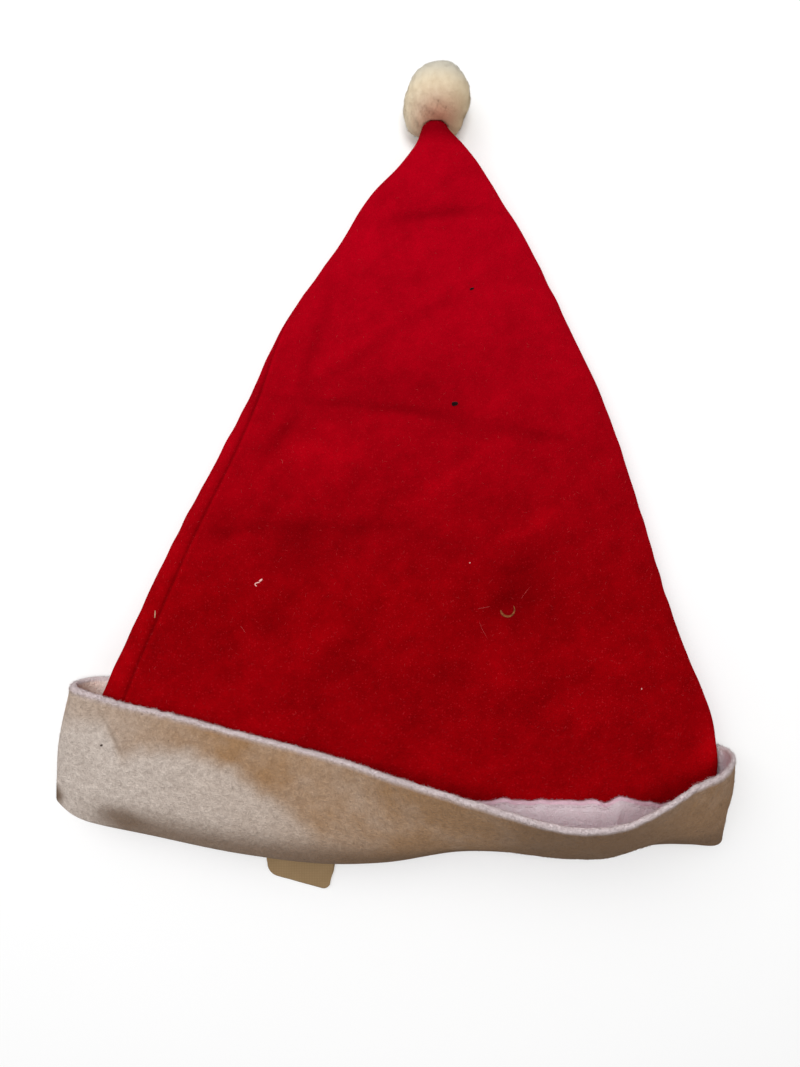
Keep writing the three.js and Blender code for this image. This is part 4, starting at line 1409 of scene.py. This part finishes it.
class HAT_OT_cuff(bpy.types.Operator):
    """Make the turned-up cuff: a doubled band of stained felt with its stitches, nap and one speck"""

    bl_idname = "hat.cuff"
    bl_label = "Cuff"

    def execute(self, context):
        settings = context.scene.hat_cuff
        angle, rings, inner_share, outer_share, outer_face = cuff_surface(settings)
        marks = self.felt_marks(angle, rings, inner_share, outer_share, outer_face)
        quads = ring_faces(len(rings), rings.shape[1], True)
        points = rings.reshape(-1, 3)
        felt = white_felt(settings)
        cuff = make_piece("cuff_felt", points, quads, NO_TRIANGLES, marks, felt, "white_felt", "cuff")
        front = np.degrees(angle) < NAP_END
        wall = outer_face * (outer_share > WALL_NAP)
        edges = outer_face * (outer_share > RIM_NAP) + (inner_share > HEM_NAP)
        sizes = (settings.nap_length, settings.nap_radius)
        for name, likely, count in (
            ("cuff_nap", wall, settings.nap_count),
            ("rim_nap", edges, settings.rim_count),
        ):
            weight = front[:-1, None] * likely[:-1]
            make_nap(name, rings, weight, count, sizes, marks, felt, "white_felt")
        self.make_stitches(settings)
        self.make_speck(settings, rings[front][:, (outer_face > 0) & (outer_share > 0)])
        return {"FINISHED"}

    def felt_marks(self, angle, rings, inner_share, outer_share, outer_face):
        """Where the felt is stained, or darkened by painted shade and a little dirt, on the outer wall
        alone, and where it is the rim, the sewn hem, the inside, or the inside at the left."""
        x, y, _ = np.moveaxis(rings, -1, 0)
        wall_face = outer_face * (inner_share == 0)
        # Painted shade along the bottom fold
        fold = FOLD_SHADE["amount"] * (1 - ease(outer_share, 0, FOLD_SHADE["reach"]))
        fold = fold * ease(x, FOLD_SHADE["start"], FOLD_SHADE["full"])
        turn = cuff_turn(angle)
        wall_length = np.hypot(turn["rim"] - turn["fold"], turn["lift"])[:, None]
        inside = (wall_face == 0) + 0 * x
        return {
            "stain": stained(x, y) * wall_face,
            "shade_and_soil": (1 - (1 - shaded_and_soiled(x, y)) * (1 - fold)) * wall_face,
            "rim": 1 - ease((1 - outer_share) * wall_length, *RIM_MARK),
            "hem": HEM_MARK["amount"] * ease(inner_share, *HEM_MARK["span"]) + 0 * x,
            "inside": inside,
            "warm": (1 - ease(x, *WARM_SPAN)) * inside,
        }

    def make_speck(self, settings, wall):
        """A dark speck on the point of the wall that is nearest to its place."""
        offset = wall[..., :2] - np.array(CUFF_SPECK["place"])
        row, column = np.unravel_index(np.argmin(np.sum(offset**2, axis=-1)), wall.shape[:2])
        share = np.linspace(-0.5, 0.5, CUFF_SPECK["points"])
        path = np.stack([share, CUFF_SPECK["slant"] * share, CUFF_SPECK["lift"] + 0 * share], axis=-1)
        radius = CUFF_SPECK["radius"] * np.sqrt(1 - CUFF_SPECK["taper"] * share**2)
        speck = tubes((wall[row, column] + path)[None], radius[None])
        dirt = plain_fibre("speck_dirt", settings.dirt, CUFF_SPECK["light"], 900)
        make_piece("cuff_speck", *speck, {}, dirt, "white_felt")

    def make_stitches(self, settings):
        """A line of stitches below the sewn edge, each a short thread that dips in at its ends."""
        fine = np.linspace(0, 2 * np.pi, STITCH["line_points"])
        drop = settings.stitch_drop / MM
        lift = CUFF_INNER + CUFF_WALL / 2 - STITCH["sunk"]
        line = off_crown(fine, cuff_turn(fine)["seam"] - drop, lift)
        travelled = np.concatenate([[0], np.cumsum(np.linalg.norm(np.diff(line, axis=0), axis=1))])
        pitch = settings.stitch_length / MM
        count = int(travelled[-1] / pitch)
        share = np.linspace(0, 1, STITCH["points"])
        at = (np.arange(count)[:, None] + STITCH["share"] * share) * pitch
        where = np.interp(at, travelled, fine)
        dip = STITCH["dip"] * np.abs(2 * share - 1) ** STITCH["dip_power"]
        paths = off_crown(where, cuff_turn(where)["seam"] - drop, lift - dip)
        radii = np.full(where.shape, settings.stitch_radius / MM)
        thread = plain_fibre("sewing_thread", STITCH["dark"], STITCH["light"], 2400)
        make_piece("cuff_stitches", *tubes(paths, radii), {}, thread, "white_felt")


class HAT_OT_pompom(bpy.types.Operator):
    """Make the pompom: a packed head under a dense pile and a few stray fibres"""

    bl_idname = "hat.pompom"
    bl_label = "Pompom"

    def execute(self, context):
        settings = context.scene.hat_pompom
        fibre = pompom_fibre(settings)
        polar = np.linspace(0, np.pi, HEAD["rings"] + 2)[1:-1, None]
        turn = np.linspace(0, 2 * np.pi, HEAD["columns"], endpoint=False)
        parts = [np.sin(polar) * np.cos(turn), np.sin(polar) * np.sin(turn), np.cos(polar) + 0 * turn]
        heading = np.stack(parts, axis=-1)
        reach = short_of_tip(heading, HEAD["share"] * pompom_reach(heading), HEAD["swell"])
        rings = pompom_middle() + heading * reach[..., None]
        rings[..., 2] = np.maximum(rings[..., 2], HEAD["floor"])
        surface = ringed_surface(rings, rings[0].mean(axis=0), rings[-1].mean(axis=0))
        marks = pompom_marks(surface[0], np.full(len(surface[0]), HEAD_SHADE))
        make_piece("pompom_head", *surface, marks, fibre, "pompom_fibre", "pompom")
        for name, count, seed, spread in (
            ("pompom_pile", settings.pile_count, SEED + 41, PILE["spread"]),
            ("pompom_strays", settings.stray_count, SEED + 42, PILE["stray_spread"]),
        ):
            fibres, marks = pompom_fibres(count, seed, settings, spread)
            make_piece(name, *fibres, marks, fibre, "pompom_fibre")
        return {"FINISHED"}


class HAT_OT_tab(bpy.types.Operator):
    """Make the bare woven tab inside the back of the mouth"""

    bl_idname = "hat.tab"
    bl_label = "Tab"

    def execute(self, context):
        settings = context.scene.hat_tab
        across = np.sin(np.linspace(-np.pi / 2, np.pi / 2, settings.columns))
        share = np.linspace(0, 1, settings.rows)[:, None]
        right = blend(TAB_RIGHT, TAB_END_RIGHT, share**TAB_TAPER)
        x = np.where(across < 0, across * TAB_LEFT, across * right)
        end = np.where(across < 0, TAB_LEFT, TAB_END_RIGHT)
        corner = np.clip(np.abs(across) * end - (end - TAB_CORNER), 0, TAB_CORNER)
        cut = TAB_CORNER - np.sqrt(TAB_CORNER**2 - corner**2)
        line = np.array(TAB_LINE, float)
        steps = np.concatenate([[0], np.cumsum(np.linalg.norm(np.diff(line, axis=0), axis=1))])
        place = share * (steps[-1] - cut)
        centre = read_table(("step", "x", "y", "z"), np.column_stack([steps, line]), place)
        slant = TAB_SKEW * x * share**2
        waves = np.abs(1 + soft_waves(x, place, TAB_CURL["length"], SEED + 50))
        curl = TAB_CURL["height"] * waves * ease(share, TAB_CURL["start"], 1)
        middle = np.stack([centre["x"] + x, centre["y"] + slant, centre["z"] + curl], axis=-1)
        up = grid_normals(middle)
        up = up * np.sign(up[..., 2].mean()) * TAB_WALL / 2
        surface = sheet_surface(middle + up, middle - up)
        surface[0][:, 2] = np.maximum(surface[0][:, 2], TAB_FLOOR)
        tab = make_piece("tab_tape", *surface, {}, tab_cloth(settings), "tab_cloth", "tab")
        return {"FINISHED"}


class HAT_OT_bits(bpy.types.Operator):
    """Make the hairs, lint, straw, husk and dark specks that are caught in the felt"""

    bl_idname = "hat.bits"
    bl_label = "Caught bits"

    def execute(self, context):
        for name, table, dark, light in BIT_SETS:
            row = {key: values[:, None] for key, values in zip(BIT_COLUMNS, np.array(table, float).T)}
            share = np.linspace(-0.5, 0.5, BIT_POINTS)
            bent = np.radians(row["turn"] + row["curl"] * share)
            step = row["length"] / (BIT_POINTS - 1)
            run_x = np.cumsum(np.cos(bent) * step, axis=1)
            run_y = np.cumsum(np.sin(bent) * step, axis=1)
            x = row["x"] + run_x - run_x.mean(axis=1, keepdims=True)
            y = row["y"] + run_y - run_y.mean(axis=1, keepdims=True)
            round_ends = blend(BIT_END, 1, np.sqrt(np.clip(1 - (2 * share) ** 4, 0, 1)))
            radius = row["radius"] * round_ends * (1 - row["slim"] * (share + 0.5))
            height = self.crown_height(x, y, context.scene.hat_crown)
            paths = np.stack([x, y, height + 0.5 * radius], axis=-1)
            stuff = plain_fibre(f"{name}_fibre", dark, light, 900)
            make_piece(name, *tubes(paths, radius), {}, stuff, "red_felt")
        return {"FINISHED"}

    def crown_height(self, x, y, settings):
        """Height of the crown's front over places given by x and y."""
        row = read_table(CROWN_COLUMNS, CROWN_SECTIONS, y)
        half = (row["right"] - row["left"]) / 2
        angle = np.arccos(np.clip((x - (row["left"] + row["right"]) / 2) / half, -1, 1))
        return off_crown(angle, y, crown_relief(angle, y, settings))[..., 2]


class HAT_OT_stage(bpy.types.Operator):
    """Make the floor, the lights and the camera straight above the hat"""

    bl_idname = "hat.stage"
    bl_label = "Stage"

    def execute(self, context):
        settings = context.scene.hat_stage
        self.make_floor(context, settings)
        self.make_light(context, "key_light", KEY_PLACE, KEY_SIZE, settings.key_power)
        self.make_light(context, "overhead_light", OVERHEAD_PLACE, OVERHEAD_SIZE, settings.overhead_power)
        world = bpy.data.worlds.new("soft_sky")
        world.use_nodes = True
        sky = world.node_tree.nodes["Background"]
        sky.inputs["Color"].default_value = (1, 1, 1, 1)
        sky.inputs["Strength"].default_value = settings.sky
        context.scene.world = world
        data = bpy.data.cameras.new("overhead")
        data.lens = CAMERA_LENS
        data.sensor_width = CAMERA_SENSOR
        data.clip_start = 10 * MM
        camera = bpy.data.objects.new("overhead", data)
        camera.location = np.array(CAMERA_PLACE) * MM
        context.scene.collection.objects.link(camera)
        context.scene.camera = camera
        context.scene.view_settings.view_transform = "Standard"
        return {"FINISHED"}

    def make_floor(self, context, settings):
        """A large pale floor just below the hat."""
        count = FLOOR["points"]
        side = np.linspace(-FLOOR["reach"], FLOOR["reach"], count)
        x, y = np.meshgrid(side, side)
        points = np.stack([x, y, 0 * x - FLOOR["drop"]], axis=-1).reshape(-1, 3) * MM
        order = np.arange(count**2).reshape(count, count)
        corners = [order[:-1, :-1], order[:-1, 1:], order[1:, 1:], order[1:, :-1]]
        faces = np.stack(corners, axis=-1).reshape(-1, 4)
        mesh = bpy.data.meshes.new("floor")
        mesh.from_pydata(points.tolist(), [], faces.tolist())
        floor = bpy.data.objects.new("floor", mesh)
        context.scene.collection.objects.link(floor)
        material, nodes, shader = new_material("pale_floor", 0.9, 0, (1, 1, 1, 1))
        patches = nodes.noise(nodes.place(), scale=3, detail=2.0)
        tone = nodes.remap(patches, 0, 1, to_low=0.98, to_high=1.02)
        pale = nodes.mix(1.0, settings.floor_white, tone, "MULTIPLY")
        nodes.tree.links.new(pale, shader.inputs["Base Color"])
        mesh.materials.append(material)

    def make_light(self, context, name, place, size, power):
        """A square soft light aimed at the middle of the hat."""
        data = bpy.data.lights.new(name, "AREA")
        data.size = size * MM
        data.energy = power
        lamp = bpy.data.objects.new(name, data)
        lamp.location = np.array(place) * MM
        lamp.rotation_euler = (-lamp.location).to_track_quat("-Z", "Y").to_euler()
        context.scene.collection.objects.link(lamp)


class HAT_PT_panel(bpy.types.Panel):
    """Lists the hat's pieces and their settings"""

    bl_idname = "HAT_PT_panel"
    bl_label = "Santa Hat"
    bl_space_type = "VIEW_3D"
    bl_region_type = "UI"
    bl_category = "Santa Hat"

    def draw(self, context):
        for key, settings_type in SETTINGS.items():
            box = self.layout.box()
            box.label(text=settings_type.__doc__)
            for name in settings_type.__annotations__:
                box.prop(getattr(context.scene, key), name)
        for operator in OPERATORS:
            self.layout.operator(operator.bl_idname)


SETTINGS = {
    "hat_crown": HatCrownSettings,
    "hat_cuff": HatCuffSettings,
    "hat_pompom": HatPompomSettings,
    "hat_tab": HatTabSettings,
    "hat_stage": HatStageSettings,
}
OPERATORS = (HAT_OT_stage, HAT_OT_cuff, HAT_OT_crown, HAT_OT_pompom, HAT_OT_tab, HAT_OT_bits)
CLASSES = (*SETTINGS.values(), *OPERATORS, HAT_PT_panel)


def register():
    for kind in CLASSES:
        bpy.utils.register_class(kind)
    for key, settings_type in SETTINGS.items():
        setattr(bpy.types.Scene, key, bpy.props.PointerProperty(type=settings_type))


def unregister():
    for key in SETTINGS:
        delattr(bpy.types.Scene, key)
    for kind in reversed(CLASSES):
        bpy.utils.unregister_class(kind)


def main():
    register()
    bpy.ops.hat.stage()
    bpy.ops.hat.cuff()
    bpy.ops.hat.crown()
    bpy.ops.hat.pompom()
    bpy.ops.hat.tab()
    bpy.ops.hat.bits()


if __name__ == "__main__":
    main()
